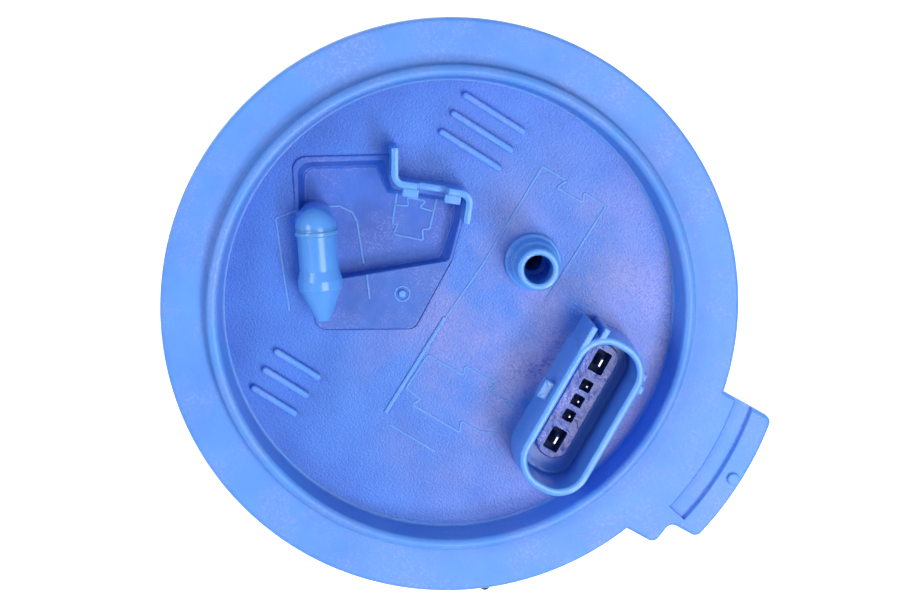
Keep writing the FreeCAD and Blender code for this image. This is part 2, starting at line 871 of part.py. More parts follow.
def sender_rails():
    """Two hooked rails on the cup that hold the level sender."""
    rails = []
    half = sender_width / 2
    low = sender_top - sender_height
    for side in (1, -1):
        inner = half + sender_gap
        outer = inner + sender_rail_width
        hold = sender_back + sender_tongue + sender_gap
        stem = block((cup_radius - 8, min(side * inner, side * outer), low),
                     (hold + rail_lip, max(side * inner, side * outer), sender_top))
        lip_in = half - rail_grip
        lip = block((hold, min(side * lip_in, side * outer), low),
                    (hold + rail_lip, max(side * lip_in, side * outer), sender_top))
        rails += [stem, lip]
    rails.append(block((cup_radius - 2, -half + 2, low - 2.4),
                       (sender_front, half - 2, low - sender_gap)))
    return rails


def make_reservoir():
    cup = tube((0, 0), cup_floor, cup_top, cup_radius, cup_radius - cup_wall)
    cup = cup.fuse(cylinder((0, 0), cup_bottom, cup_floor, cup_radius))
    pieces = []
    for place in (rod_far_place, rod_near_place):
        pieces.append(cylinder(place, sleeve_bottom, cup_top, sleeve_radius))
        pieces.append(sleeve_web_block(place))
    for i in range(4):
        foot = tube((0, 0), foot_bottom, cup_bottom + fused, cup_radius - 1, cup_radius - 1 - foot_width)
        wedge = block((0, -5, foot_bottom - past), (cup_radius + 1, 5, cup_bottom + past))
        wedge.rotate(Vector(0, 0, 0), Vector(0, 0, 1), 45 + 90 * i)
        pieces.append(foot.common(wedge))
    rib_top = cup_top - lid_skirt - 1
    for i in range(cup_rib_count):
        angle = 360.0 * i / cup_rib_count + 22.5
        if 30 < angle % 360 < 330:
            rib = block((cup_radius - 1, -cup_rib_width / 2, cup_bottom),
                        (cup_radius + cup_rib_depth, cup_rib_width / 2, rib_top))
            rib.rotate(Vector(0, 0, 0), Vector(0, 0, 1), angle)
            pieces.append(rib)
    seat_inner = case_radius + isolator_foot + part_clearance
    seat_outer = seat_inner + seat_ring_wall
    seat_top = cup_floor + seat_ring_height
    pieces.append(tube(pump_place, cup_floor - fused, seat_top, seat_outer, seat_inner))
    body = cup.fuse(pieces + sender_rails())
    hollow = cylinder((0, 0), cup_floor, cup_top + past, cup_radius - cup_wall)
    cuts = [hollow.cut(tube(pump_place, cup_floor, seat_top, seat_outer, seat_inner))]
    for place in (rod_far_place, rod_near_place):
        cuts.append(cylinder(place, sleeve_bottom - past, cup_top + past, rod_radius + slide_clearance))
    stem_hole = valve_stem_radius + part_clearance
    cuts.append(cylinder(valve_place, cup_bottom - past, cup_floor + past, stem_hole))
    for i in range(4):
        angle = math.radians(90 * i + 45)
        hole = (valve_place[0] + valve_hole_circle * math.cos(angle),
                valve_place[1] + valve_hole_circle * math.sin(angle))
        cuts.append(cylinder(hole, cup_bottom - past, cup_floor + past, valve_hole_radius))
    for i in range(4):
        window = block((-strainer_size[1] / 2, 0, cup_floor),
                       (strainer_size[1] / 2, case_radius + 8, cup_floor + strainer_size[2] + 2))
        window.rotate(Vector(0, 0, 0), Vector(0, 0, 1), 90 * i)
        window.translate(at(pump_place, 0))
        keep = cylinder((0, 0), cup_floor, cup_top, cup_radius - cup_wall)
        cuts.append(window.common(keep))
    return body.cut(cuts).removeSplitter()


def make_fill_valve():
    """Rubber umbrella valve held by the bulb on its stem."""
    cap = cup_floor + 0.05
    bulb = cup_bottom - 0.4
    profile = [(0, bulb - 2.0), (0.7, bulb - 2.0), (valve_stem_radius + 0.6, bulb - 0.4),
               (valve_stem_radius + 0.6, bulb), (valve_stem_radius, bulb + 0.35), (valve_stem_radius, cap),
               (valve_cap_radius, cap), (valve_cap_radius, cap + 0.6), (2.2, cap + 1.6), (0, cap + 1.6)]
    return revolved(profile, valve_place)


def duct_line():
    """Direction and length of the duct from the pump axis to the hose nipple."""
    dx = port_place[0] - pump_place[0]
    dy = port_place[1] - pump_place[1]
    return math.degrees(math.atan2(dy, dx)), math.hypot(dx, dy)


def along_duct(solid):
    solid.rotate(Vector(0, 0, 0), Vector(0, 0, 1), duct_line()[0])
    solid.translate(at(pump_place, 0))
    return solid


def regulator_place():
    angle = math.radians(duct_line()[0] + 180)
    return (pump_place[0] + regulator_distance * math.cos(angle),
            pump_place[1] + regulator_distance * math.sin(angle))


def make_lid():
    """Lid with the pump holder fingers below and the outlet duct on top."""
    rim = cup_radius + lid_clearance
    outer = rim + lid_overhang
    plate = cylinder((0, 0), cup_top, lid_top, outer)
    skirt = tube((0, 0), cup_top - lid_skirt, cup_top, outer, rim)
    holder_inner = case_radius + lid_overhang - 0.2
    holder_bottom = cup_top - holder_length
    holder = tube(pump_place, holder_bottom, cup_top, holder_inner + holder_wall, holder_inner)
    slots = []
    for i in range(4):
        slot = block((0, -holder_slot_width / 2, holder_bottom - past),
                     (holder_inner + 5, holder_slot_width / 2, holder_bottom + holder_slot_length))
        slot.rotate(Vector(0, 0, 0), Vector(0, 0, 1), 90 * i)
        slot.translate(at(pump_place, 0))
        slots.append(slot)
    holder = holder.cut(slots)
    socket_outer = outlet_radius + seal_section + outlet_socket_wall
    socket = cylinder(pump_place, cup_top - outlet_socket_depth, duct_level - 1.4, socket_outer)
    length = duct_line()[1]
    duct = Part.makeCylinder(duct_radius, length + regulator_distance + 2,
                             Vector(-regulator_distance, 0, duct_level), Vector(1, 0, 0))
    web = block((-regulator_distance, -1.2, lid_top - fused), (length, 1.2, duct_level - 0.7))
    dome = cylinder(pump_place, lid_top - fused, duct_top, duct_radius + 0.8)
    step = (lid_nipple_top - duct_level) / 4
    shoulder = duct_radius + 0.6
    profile = [(0, lid_top - fused), (shoulder, lid_top - fused), (shoulder, duct_top),
               (nipple_radius, duct_top)]
    for i in range(1, 3):
        level = lid_nipple_top - (3 - i) * step * 0.8
        profile += [(nipple_radius, level - 0.6), (nipple_radius + nipple_barb, level),
                    (nipple_radius, level + 1.4)]
    profile += [(nipple_radius - 0.4, lid_nipple_top), (0, lid_nipple_top)]
    nipple = revolved(profile, port_place)
    seat = cylinder(regulator_place(), lid_top - fused, duct_top, regulator_radius + 1.6)
    body = plate.fuse([skirt, holder, socket, along_duct(duct), along_duct(web), dome, nipple, seat])
    bore = Part.makeCylinder(duct_bore, length + regulator_distance - 1,
                             Vector(-regulator_distance + 2, 0, duct_level), Vector(1, 0, 0))
    cuts = [along_duct(bore)]
    cuts.append(cylinder(pump_place, cup_top - outlet_socket_depth - past, outlet_top + outlet_end_gap,
                         outlet_radius + seal_section))
    cuts.append(cylinder(pump_place, cup_top - past, duct_level + past, duct_bore - 0.3))
    cuts.append(cylinder(port_place, duct_level - past, lid_nipple_top + past, port_lower_bore_radius))
    cuts.append(cylinder(regulator_place(), duct_level - duct_bore + 0.6, duct_top + past,
                         regulator_radius - 1.6))
    cuts.append(cylinder(regulator_place(), regulator_seat, duct_top + past,
                         regulator_radius + part_clearance))
    for place in (rod_far_place, rod_near_place):
        cuts.append(cylinder(place, cup_top - lid_skirt - 1, lid_top + past, sleeve_radius + lid_overhang))
    for place in vent_places:
        cuts.append(cylinder(place, cup_top - past, lid_top + past, vent_radius))
    cuts.append(cylinder(spill_hole_place, cup_top - past, lid_top + past, spill_hole_radius))
    for side in (1, -1):
        slot = rounded_block((pump_place[0], pump_place[1] + side * pump_terminal_offset),
                             wire_slot[0], wire_slot[1], 1, cup_top - past, lid_top + past)
        slot.rotate(at(pump_place, 0), Vector(0, 0, 1), duct_line()[0])
        cuts.append(slot)
    return body.cut(cuts)


# Pump

def make_pump_case():
    """Drawn steel tube with both ends rolled in."""
    inner = case_bore - crimp_width
    profile = [(case_radius - 0.6, case_bottom), (case_radius, case_bottom + 0.6),
               (case_radius, case_top - 0.6), (case_radius - 0.6, case_top), (inner, case_top),
               (inner, case_top - case_wall), (case_bore, case_top - case_wall),
               (case_bore, inlet_cover_bottom), (inner, inlet_cover_bottom), (inner, case_bottom)]
    return revolved(profile, pump_place)


def suction_place():
    return (pump_place[0] + suction_offset, pump_place[1])


def make_inlet_cover():
    """Cover with the ring round the impeller, the suction nozzle and the flow channel."""
    outer = case_bore - part_clearance
    face = impeller_bottom - impeller_gap
    body = cylinder(pump_place, inlet_cover_bottom, chamber_bottom, outer)
    neck_radius = case_bore - crimp_width - part_clearance
    neck = cylinder(pump_place, case_bottom, inlet_cover_bottom + 1, neck_radius)
    nozzle = cylinder(suction_place(), case_bottom - suction_reach, inlet_cover_bottom, suction_radius)
    body = body.fuse([neck, nozzle])
    pocket = cylinder(pump_place, face, chamber_bottom + 1, impeller_radius + impeller_gap)
    channel = tube(pump_place, face - channel_depth, face + 0.1, channel_radius + channel_half_width,
                   channel_radius - channel_half_width)
    bridge = block((-channel_radius - 3, 0, face - 2), (-channel_radius + 3, 5, face + 1))
    bridge.translate(at(pump_place, 0))
    thrust = cylinder(pump_place, face - 1.5, face + 1, shaft_radius + 0.4)
    bore = cylinder(suction_place(), case_bottom - suction_reach - 1, face + 1, suction_bore)
    return body.cut([pocket, channel.cut(bridge), thrust, bore]).removeSplitter()


def make_chamber_plate():
    outer = case_bore - part_clearance
    body = cylinder(pump_place, chamber_bottom, chamber_top, outer)
    boss = cylinder(pump_place, chamber_top, chamber_top + 2.0, 4.2)
    channel = tube(pump_place, chamber_bottom - 0.1, chamber_bottom + channel_depth,
                   channel_radius + channel_half_width, channel_radius - channel_half_width)
    port = cylinder((pump_place[0] - channel_radius, pump_place[1] - 4), chamber_bottom - past,
                    chamber_top + past, channel_half_width + 0.2)
    bore = cylinder(pump_place, chamber_bottom - past, chamber_top + 3, shaft_radius + shaft_clearance)
    return body.fuse(boss).cut([channel, port, bore]).removeSplitter()


def make_impeller():
    """Disc with vane slots round its rim and a bore that fits the shaft flat."""
    disc = cylinder(pump_place, impeller_bottom, impeller_top, impeller_radius)
    slots = []
    for i in range(impeller_vanes):
        angle = 360.0 * i / impeller_vanes
        outer = impeller_radius - impeller_rim
        slot = block((outer - vane_length, -vane_width / 2, impeller_bottom - past),
                     (outer, vane_width / 2, impeller_top + past))
        slot.rotate(Vector(0, 0, 0), Vector(0, 0, 1), angle)
        slot.translate(at(pump_place, 0))
        slots.append(slot)
    return disc.cut(slots + [shaft_section(impeller_bottom - past, impeller_top + past)])


def shaft_section(bottom, top):
    """Shaft end with a flat that drives the impeller."""
    round_part = cylinder(pump_place, bottom, top, shaft_radius)
    flat = block((pump_place[0] + shaft_radius * 0.6, pump_place[1] - 3, bottom - past),
                 (pump_place[0] + 4, pump_place[1] + 3, top + past))
    return round_part.cut(flat)


def rotor_levels():
    core_bottom = chamber_top + 2.0 + winding_overhang + 1.0
    core_top = core_bottom + armature_length
    return core_bottom, core_top


def make_shaft():
    core_top = rotor_levels()[1]
    top = core_top + winding_overhang + commutator_thickness + 6.0
    end = shaft_section(impeller_bottom - 0.9, chamber_bottom)
    return end.fuse(cylinder(pump_place, chamber_bottom, top, shaft_radius)).removeSplitter()


def armature_profile(bottom, top, outer, slot_width):
    core = cylinder(pump_place, bottom, top, outer)
    cuts = [cylinder(pump_place, bottom - past, top + past, shaft_radius)]
    for i in range(armature_slots):
        slot = block((winding_root - 0.4, -slot_width / 2, bottom - past),
                     (outer + 1, slot_width / 2, top + past))
        slot.rotate(Vector(0, 0, 0), Vector(0, 0, 1), 360.0 * i / armature_slots)
        slot.translate(at(pump_place, 0))
        cuts.append(slot)
    return core.cut(cuts)


def make_armature_core():
    bottom, top = rotor_levels()
    return armature_profile(bottom, top, armature_radius, winding_width + 0.4)


def make_windings():
    """Copper in the slots, joined over both ends of the core."""
    bottom, top = rotor_levels()
    bars = []
    for i in range(armature_slots):
        bar = block((winding_root, -winding_width / 2, bottom - fused),
                    (winding_radius, winding_width / 2, top + fused))
        bar.rotate(Vector(0, 0, 0), Vector(0, 0, 1), 360.0 * i / armature_slots)
        bar.translate(at(pump_place, 0))
        bars.append(bar)
    profile = [(shaft_radius + 0.5, 0.1), (winding_radius - 0.8, 0.1), (winding_radius, 1.0),
               (winding_radius - 1.2, winding_overhang), (shaft_radius + 0.5, winding_overhang)]
    upper = revolved([(r, top + z) for r, z in profile], pump_place)
    lower = revolved([(r, bottom - z) for r, z in profile], pump_place)
    return upper.fuse([lower] + bars).removeSplitter()


def make_commutator():
    """Flat carbon disc with radial cuts between its segments."""
    bottom = rotor_levels()[1] + winding_overhang + 0.1
    disc = tube(pump_place, bottom, bottom + commutator_thickness, commutator_radius, shaft_radius)
    cuts = []
    for i in range(armature_slots):
        cut = block((3.0, -0.3, bottom + 0.8), (commutator_radius + 1, 0.3, bottom + 5))
        cut.rotate(Vector(0, 0, 0), Vector(0, 0, 1), 360.0 * (i + 0.5) / armature_slots)
        cut.translate(at(pump_place, 0))
        cuts.append(cut)
    return disc.cut(cuts)


def commutator_face():
    return rotor_levels()[1] + winding_overhang + 0.1 + commutator_thickness


def make_magnets():
    bottom, top = rotor_levels()
    inner = armature_radius + magnet_gap
    outer = case_bore - part_clearance
    magnets = []
    for i in range(2):
        segment = tube((0, 0), bottom - 1.5, top + 1.5, outer, inner)
        half = magnet_angle / 2
        for side in (1, -1):
            away = block((-2 * outer, 0, bottom - 5), (2 * outer, 2 * outer, top + 5))
            away.rotate(Vector(0, 0, 0), Vector(0, 0, 1), half if side > 0 else 180 - half)
            segment = segment.cut(away)
        segment.rotate(Vector(0, 0, 0), Vector(0, 0, 1), 180 * i + 90)
        segment.translate(at(pump_place, 0))
        magnets.append(segment)
    return group(magnets)


def brush_places():
    return [(pump_place[0] + s * brush_offset, pump_place[1]) for s in (1, -1)]


def make_brushes():
    bottom = commutator_face() + brush_gap
    brushes = []
    top = bottom + brush_size[2]
    for place in brush_places():
        brushes.append(rounded_block(place, brush_size[0], brush_size[1], 0.4, bottom, top))
    return group(brushes)


def make_brush_springs():
    bottom = commutator_face() + brush_gap + brush_size[2]
    return group([coil(place, bottom, bottom + brush_spring_height, brush_spring_radius, 0.25,
                       brush_spring_turns) for place in brush_places()])


def make_end_bell():
    """Plastic end with brush boxes, top bearing, outlet pipe and check valve seat."""
    outer = case_bore - part_clearance
    face = commutator_face()
    low = face + 1.0
    body = cylinder(pump_place, low, case_top - case_wall, outer)
    neck_radius = case_bore - crimp_width - part_clearance
    neck = revolved([(0, case_top - case_wall - fused), (neck_radius, case_top - case_wall - fused),
                     (neck_radius, end_bell_top - 1.2), (neck_radius - 1.2, end_bell_top),
                     (0, end_bell_top)], pump_place)
    pipe = revolved([(0, end_bell_top - 1), (outlet_radius + 0.6, end_bell_top - 1),
                     (outlet_radius + 0.6, end_bell_top + 1.4), (outlet_radius, end_bell_top + 2.0),
                     (outlet_radius, outlet_top - 0.5), (outlet_radius - 0.5, outlet_top), (0, outlet_top)],
                    pump_place)
    body = body.fuse([neck, pipe])
    cuts = []
    for place in brush_places():
        top = face + brush_gap + brush_size[2] + brush_spring_height
        cuts.append(rounded_block(place, brush_size[0] + 2 * part_clearance,
                                  brush_size[1] + 2 * part_clearance, 0.4, low - past, top))
    shaft_top = rotor_levels()[1] + winding_overhang + commutator_thickness + 6.0
    cuts.append(cylinder(pump_place, low - past, shaft_top + 0.5, shaft_radius + shaft_clearance))
    seat = end_bell_top - 2
    cuts.append(cylinder(pump_place, shaft_top + 1.5, seat + 1, 1.4))
    cuts.append(cylinder(pump_place, seat, outlet_top + past, outlet_bore))
    for side in (1, -1):
        cross = (pump_place[0], pump_place[1] + side * 5.5)
        cuts.append(cylinder(cross, low - past, shaft_top + 2.6, 1.2))
    cuts.append(Part.makeCylinder(0.9, 13, Vector(pump_place[0], pump_place[1] - 6.5, shaft_top + 2.2),
                                  Vector(0, 1, 0)))
    return body.cut(cuts + pump_terminal_blades()).removeSplitter()


def pump_terminal_places():
    angle = math.radians(duct_line()[0] + 90)
    return [(pump_place[0] + s * pump_terminal_offset * math.cos(angle),
             pump_place[1] + s * pump_terminal_offset * math.sin(angle)) for s in (1, -1)]


def pump_terminal_blades():
    blades = []
    x = pump_terminal_size[0] / 2
    y = pump_terminal_size[1] / 2
    low = end_bell_top - pump_terminal_root
    for place in pump_terminal_places():
        blades.append(block((place[0] - x, place[1] - y, low),
                            (place[0] + x, place[1] + y, low + pump_terminal_size[2])))
    return blades


def check_seat():
    return end_bell_top - 2


def make_valve_plunger():
    seat = check_seat() + 0.1
    profile = [(0, seat), (1.9, seat), (valve_plunger_radius, seat + 0.6),
               (valve_plunger_radius, seat + 2.4),
               (1.0, seat + 2.4), (1.0, seat + 4.4), (0, seat + 4.4)]
    return revolved(profile, pump_place)


def make_valve_cage():
    """Perforated stop pressed in the outlet pipe above the plunger."""
    bottom = check_seat() + 8.0
    ring = cylinder(pump_place, bottom, bottom + 2.0, outlet_bore)
    holes = [cylinder(pump_place, bottom - past, bottom + 3, 1.1)]
    for i in range(4):
        angle = math.radians(90 * i)
        place = (pump_place[0] + 1.7 * math.cos(angle), pump_place[1] + 1.7 * math.sin(angle))
        holes.append(cylinder(place, bottom - past, bottom + 3, 0.45))
    return ring.cut(holes)


def make_valve_spring():
    seat = check_seat() + 0.1
    return coil(pump_place, seat + 2.4, check_seat() + 8.0, 1.5, 0.2, 4.0)


def make_isolator_sleeve():
    """Rubber band with grip ribs between the pump and its holder."""
    inner = case_radius + press
    outer = case_radius + lid_overhang - 0.3
    low = cup_top - holder_length + 6
    profile = [(inner, low), (outer, low)]
    step = isolator_length / 3
    for i in range(3):
        profile += [(outer, low + step * i + step * 0.6), (outer - 0.5, low + step * i + step * 0.8),
                    (outer, low + step * (i + 1))]
    profile += [(inner, low + isolator_length)]
    return revolved(profile, pump_place)


def make_isolator_cup():
    """Rubber cup that carries the pump in the seat ring of the reservoir."""
    outer = case_radius + isolator_foot
    inner = case_radius + press
    low = case_bottom - 2.0
    body = cylinder(pump_place, low, case_bottom + 6, outer)
    body = body.cut(cylinder(pump_place, case_bottom, case_bottom + 7, inner))
    opening = cylinder(pump_place, low - past, case_bottom + 1, case_radius - 3)
    notch = tube(pump_place, low - past, case_bottom - 0.9, outer + 1, outer - 0.1)
    return body.cut([opening, notch])


def strainer_outline(inset, bottom, top):
    """Rounded slab of the strainer's outline, smaller by the inset all round."""
    return rounded_block(pump_place, strainer_size[0] - 2 * inset, strainer_size[1] - 2 * inset,
                         strainer_round - inset, bottom, top)


def strainer_bar(x, half_width, bottom, top):
    """Bar across the strainer frame at a distance x from the pump axis."""
    reach = strainer_size[1] / 2 - strainer_rim + fused
    return block((pump_place[0] + x - half_width, pump_place[1] - reach, bottom),
                 (pump_place[0] + x + half_width, pump_place[1] + reach, top))


def make_strainer_frame():
    """Moulded rim with cross bars and a spout pressed on the suction nozzle."""
    low = cup_floor + strainer_floor_gap
    top = low + strainer_size[2]
    inner = strainer_outline(strainer_rim, low - past, top + past)
    ring = strainer_outline(0, low, top).cut(inner)
    bars = [strainer_bar(x, 0.7, low + 1, top - 1) for x in (-10.0, 0.0)]
    place = suction_place()
    spout = tube(place, low + 1, case_bottom - suction_reach + 2.2, suction_radius + 1.2,
                 suction_radius + press)
    yoke = strainer_bar(suction_offset, suction_radius + 1, low + 1, top - 1.2)
    yoke = yoke.cut(cylinder(place, low - past, top + past, suction_radius + press))
    return ring.fuse(bars + [spout, yoke]).removeSplitter()


def make_strainer_mesh():
    low = cup_floor + strainer_floor_gap + mesh_inset
    return strainer_outline(strainer_rim + part_clearance, low, low + mesh_thickness)


def make_regulator():
    """Drawn metal can with a rolled flange and a small return nozzle on top."""
    seat = regulator_seat
    flange_level = duct_top + 0.3
    top = seat + regulator_height
    neck = regulator_radius - 1.8
    profile = [(0, seat - 2.0), (neck, seat - 2.0), (neck, seat + press), (regulator_radius, seat + press),
               (regulator_radius, flange_level), (regulator_radius + regulator_flange, flange_level),
               (regulator_radius + regulator_flange, flange_level + 1.2),
               (regulator_radius - 0.4, flange_level + 1.6), (regulator_radius - 1.0, top - 1.0),
               (regulator_radius - 2.0, top), (1.9, top), (1.6, top + 0.3), (1.6, top + 2.0),
               (0, top + 2.0)]
    return revolved(profile, regulator_place())


def make_outlet_seal():
    middle = outlet_radius + seal_section / 2 + press
    level = cup_top - outlet_socket_depth / 2
    return Part.makeTorus(middle, seal_section / 2 - press, at(pump_place, level))


# Hose and clamps

def make_hose():
    """Corrugated hose with plain cuffs over both nipples."""
    top = floor_bottom - 0.4
    bottom = duct_top + 0.4
    outer = hose_bore + hose_wall
    span = top - bottom - 2 * hose_cuff
    waves = int(span / hose_wave_pitch)
    pitch = span / waves
    profile = [(hose_bore, bottom), (outer, bottom), (outer, bottom + hose_cuff)]
    for i in range(waves):
        z = bottom + hose_cuff + i * pitch
        profile += [(outer + hose_wave_height, z + pitch * 0.25),
                    (outer + hose_wave_height, z + pitch * 0.6),
                    (outer, z + pitch * 0.85), (outer, z + pitch)]
    profile += [(outer, top), (hose_bore, top)]
    return revolved(profile, port_place)


def make_clamp(level):
    """Ear clamp band round a hose cuff."""
    inner = hose_bore + hose_wall + 0.05
    band = tube(port_place, level, level + clamp_width, inner + clamp_thickness, inner)
    ear = block((port_place[0] + inner + 0.1, port_place[1] - 1.6, level),
                (port_place[0] + inner + 2.8, port_place[1] + 1.6, level + clamp_width))
    gap = block((port_place[0] + inner + 0.7, port_place[1] - 0.9, level - 1),
                (port_place[0] + inner + 2.1, port_place[1] + 0.9, level + clamp_width + 1))
    return band.fuse(ear).cut(gap).removeSplitter()


# Level sender and float

def pivot_cylinder(start, length, radius):
    """Cylinder along the sender pivot, from a distance along X."""
    return Part.makeCylinder(radius, length, Vector(start, 0, pivot_level), Vector(1, 0, 0))


def make_sender_housing():
    half = sender_width / 2
    low = sender_top - sender_height
    tongue = block((sender_back, -half, low), (sender_back + sender_tongue, half, sender_top))
    inset = half - rail_grip - sender_gap
    plate = tongue.fuse(block((sender_back, -inset, low), (sender_front, inset, sender_top)))
    card_low = pivot_level - hub_radius - card_size[2] + 4
    recess = block((sender_front - card_size[0] - 0.2, -card_size[1] / 2 - 0.1, card_low - 0.1),
                   (sender_front + 1, card_size[1] / 2 + 0.1, card_low + card_size[2] + 0.1))
    bore = pivot_cylinder(sender_back - 5, 20, wire_radius + slide_clearance)
    boss = pivot_cylinder(sender_back - pivot_boss_height, pivot_boss_height, pivot_boss_radius)
    lighten = [block((sender_back - past, s * 5 - 3, low + 2), (sender_back + 1.6, s * 5 + 3, low + 12))
               for s in (1, -1)]
    return plate.fuse(boss).cut([recess, bore] + lighten).removeSplitter()


def make_resistor_card():
    card_low = pivot_level - hub_radius - card_size[2] + 4
    front = sender_front - 0.1
    card = block((front - card_size[0], -card_size[1] / 2, card_low),
                 (front, card_size[1] / 2, card_low + card_size[2]))
    return card.cut(pivot_cylinder(sender_back - 5, 20, wire_radius + 1))


def arm_direction():
    angle = math.radians(arm_rest_angle)
    return Vector(0, -math.cos(angle), -math.sin(angle))


def make_wiper_lever():
    """Hub on the pivot with two clips that hold the arm wire."""
    start = sender_front + sender_gap
    end = start + hub_thickness
    low = pivot_level - lever_width / 2
    high = pivot_level + lever_width / 2
    clip_top = arm_plane + wire_radius + lever_clip_lip
    hub = pivot_cylinder(start, hub_thickness, hub_radius)
    arm = block((start, -lever_length, low), (end, 0, high))
    clip_end = 1 - lever_length
    clip = block((end - fused, clip_end, low), (clip_top, clip_end + lever_clip_length, high))
    lever = hub.fuse([arm, clip]).removeSplitter()
    wire_start = Vector(arm_plane, lever_length, pivot_level)
    wire_space = Part.makeCylinder(wire_radius + press, 3 * lever_length, wire_start, Vector(0, -1, 0))
    mouth = block((arm_plane, -lever_length - 4, pivot_level - wire_radius * 0.8),
                  (clip_top + past, 0, pivot_level + wire_radius * 0.8))
    lever = lever.cut([wire_space, mouth, pivot_cylinder(start - 5, 20, wire_radius + press)])
    lever.rotate(Vector(start, 0, pivot_level), Vector(1, 0, 0), arm_rest_angle)
    return lever


def make_wiper_contacts():
    """Two spring fingers under the lever that sweep the resistor card."""
    start = sender_front + sender_gap
    fingers = []
    for offset in (-contact_spread - contact_width, contact_spread):
        fingers.append(block((start - contact_thickness, offset, pivot_level - contact_reach),
                             (start, offset + contact_width, pivot_level - contact_root)))
    return group(fingers)


def make_float_arm():
    """Wire bent at the pivot and again where it carries the float."""
    way = arm_direction()
    pivot = Vector(0, 0, pivot_level)
    start = pivot + Vector(sender_back - 1.5, 0, 0)
    first = pivot + Vector(arm_plane, 0, 0)
    second = first + way * arm_length
    end = second + Vector(float_side - arm_plane + float_size[0] + retainer_thickness + 1.2, 0, 0)
    return bent_rod([start, first, second, end], wire_bend, wire_radius)


def float_centre():
    way = arm_direction()
    return Vector(float_side + float_size[0] / 2, 0, pivot_level) + way * arm_length


def make_float():
    centre = float_centre()
    corners = rectangle((0, 0), float_size[1], float_size[2])
    body = rounded_prism(corners, [float_round] * 4, 0, float_size[0])
    body.rotate(Vector(0, 0, 0), Vector(1, 0, 0), 90)
    body.rotate(Vector(0, 0, 0), Vector(0, 0, 1), 90)
    body.translate(Vector(centre.x - float_size[0] / 2, centre.y, centre.z))
    edges = [edge for edge in body.Edges if edge.BoundBox.XLength < 0.01]
    body = body.makeFillet(1.2, edges)
    bore = Part.makeCylinder(wire_radius + slide_clearance, 40, Vector(centre.x - 20, centre.y, centre.z),
                             Vector(1, 0, 0))
    return body.cut(bore)


def make_float_retainer():
    centre = float_centre()
    start = centre.x + float_size[0] / 2 + float_gap / 2
    place = Vector(start, centre.y, centre.z)
    ring = Part.makeCylinder(retainer_radius, retainer_thickness, place, Vector(1, 0, 0))
    bore = Part.makeCylinder(wire_radius + press, 10, place - Vector(4, 0, 0), Vector(1, 0, 0))
    return ring.cut(bore)


os.makedirs("parts", exist_ok=True)
write("flange", make_flange())
write("flange_seal", make_seal())
power, signal = make_terminals()
write("power_terminals", power)
write("signal_terminals", signal)
write("guide_rod_far", make_rod(rod_far_place))
write("guide_rod_near", make_rod(rod_near_place))
write("rod_retaining_rings", make_rod_rings())
write("spring_far", make_spring(rod_far_place))
write("spring_near", make_spring(rod_near_place))
write("reservoir", make_reservoir())
write("fill_valve", make_fill_valve())
write("reservoir_lid", make_lid())
write("pump_case", make_pump_case())
write("pump_inlet_cover", make_inlet_cover())
write("pump_chamber_plate", make_chamber_plate())
write("impeller", make_impeller())
write("motor_shaft", make_shaft())
write("armature_core", make_armature_core())
write("armature_windings", make_windings())
write("commutator", make_commutator())
write("motor_magnets", make_magnets())
write("carbon_brushes", make_brushes())
write("brush_springs", make_brush_springs())
write("pump_outlet_end", make_end_bell())
write("pump_terminals", group(pump_terminal_blades()))
write("check_valve_plunger", make_valve_plunger())
write("check_valve_stop", make_valve_cage())
write("check_valve_spring", make_valve_spring())
write("pump_isolator_sleeve", make_isolator_sleeve())
write("pump_isolator_cup", make_isolator_cup())
write("strainer_frame", make_strainer_frame())
write("strainer_mesh", make_strainer_mesh())
write("pressure_regulator", make_regulator())
write("pump_outlet_seal", make_outlet_seal())
write("fuel_hose", make_hose())
write("hose_clamp_upper", make_clamp(floor_bottom - clamp_setback - clamp_width))
write("hose_clamp_lower", make_clamp(duct_top + clamp_setback))
write("sender_housing", make_sender_housing())
write("resistor_card", make_resistor_card())
write("wiper_lever", make_wiper_lever())
write("wiper_contacts", make_wiper_contacts())
write("float_arm", make_float_arm())
write("float", make_float())
write("float_retainer", make_float_retainer())
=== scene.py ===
import math
import bmesh
import bpy
import numpy as np
from mathutils import Matrix, Vector


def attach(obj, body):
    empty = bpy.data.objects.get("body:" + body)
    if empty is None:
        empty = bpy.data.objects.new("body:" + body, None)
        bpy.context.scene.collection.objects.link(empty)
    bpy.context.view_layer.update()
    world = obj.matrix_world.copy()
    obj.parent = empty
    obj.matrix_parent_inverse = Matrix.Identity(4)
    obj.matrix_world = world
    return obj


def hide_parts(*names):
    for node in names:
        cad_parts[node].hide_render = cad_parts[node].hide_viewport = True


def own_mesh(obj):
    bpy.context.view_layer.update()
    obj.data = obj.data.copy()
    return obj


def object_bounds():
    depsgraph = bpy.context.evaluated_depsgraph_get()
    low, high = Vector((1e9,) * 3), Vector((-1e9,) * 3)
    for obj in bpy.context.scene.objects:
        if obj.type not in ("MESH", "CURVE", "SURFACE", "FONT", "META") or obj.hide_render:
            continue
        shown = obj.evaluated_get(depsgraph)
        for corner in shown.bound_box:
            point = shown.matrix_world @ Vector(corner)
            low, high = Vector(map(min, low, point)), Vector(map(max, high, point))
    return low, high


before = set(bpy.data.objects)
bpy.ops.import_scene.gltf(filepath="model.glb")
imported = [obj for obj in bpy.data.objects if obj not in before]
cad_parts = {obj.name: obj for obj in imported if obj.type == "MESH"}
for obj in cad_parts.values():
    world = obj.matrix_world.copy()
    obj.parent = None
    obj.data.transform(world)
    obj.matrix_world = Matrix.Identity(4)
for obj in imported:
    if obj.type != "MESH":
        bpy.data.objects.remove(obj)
cadLow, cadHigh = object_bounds()
print("frame loaded,", len(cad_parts), "nodes")

mm = 0.001  # every length below is in millimetres until a mesh is made


# Materials

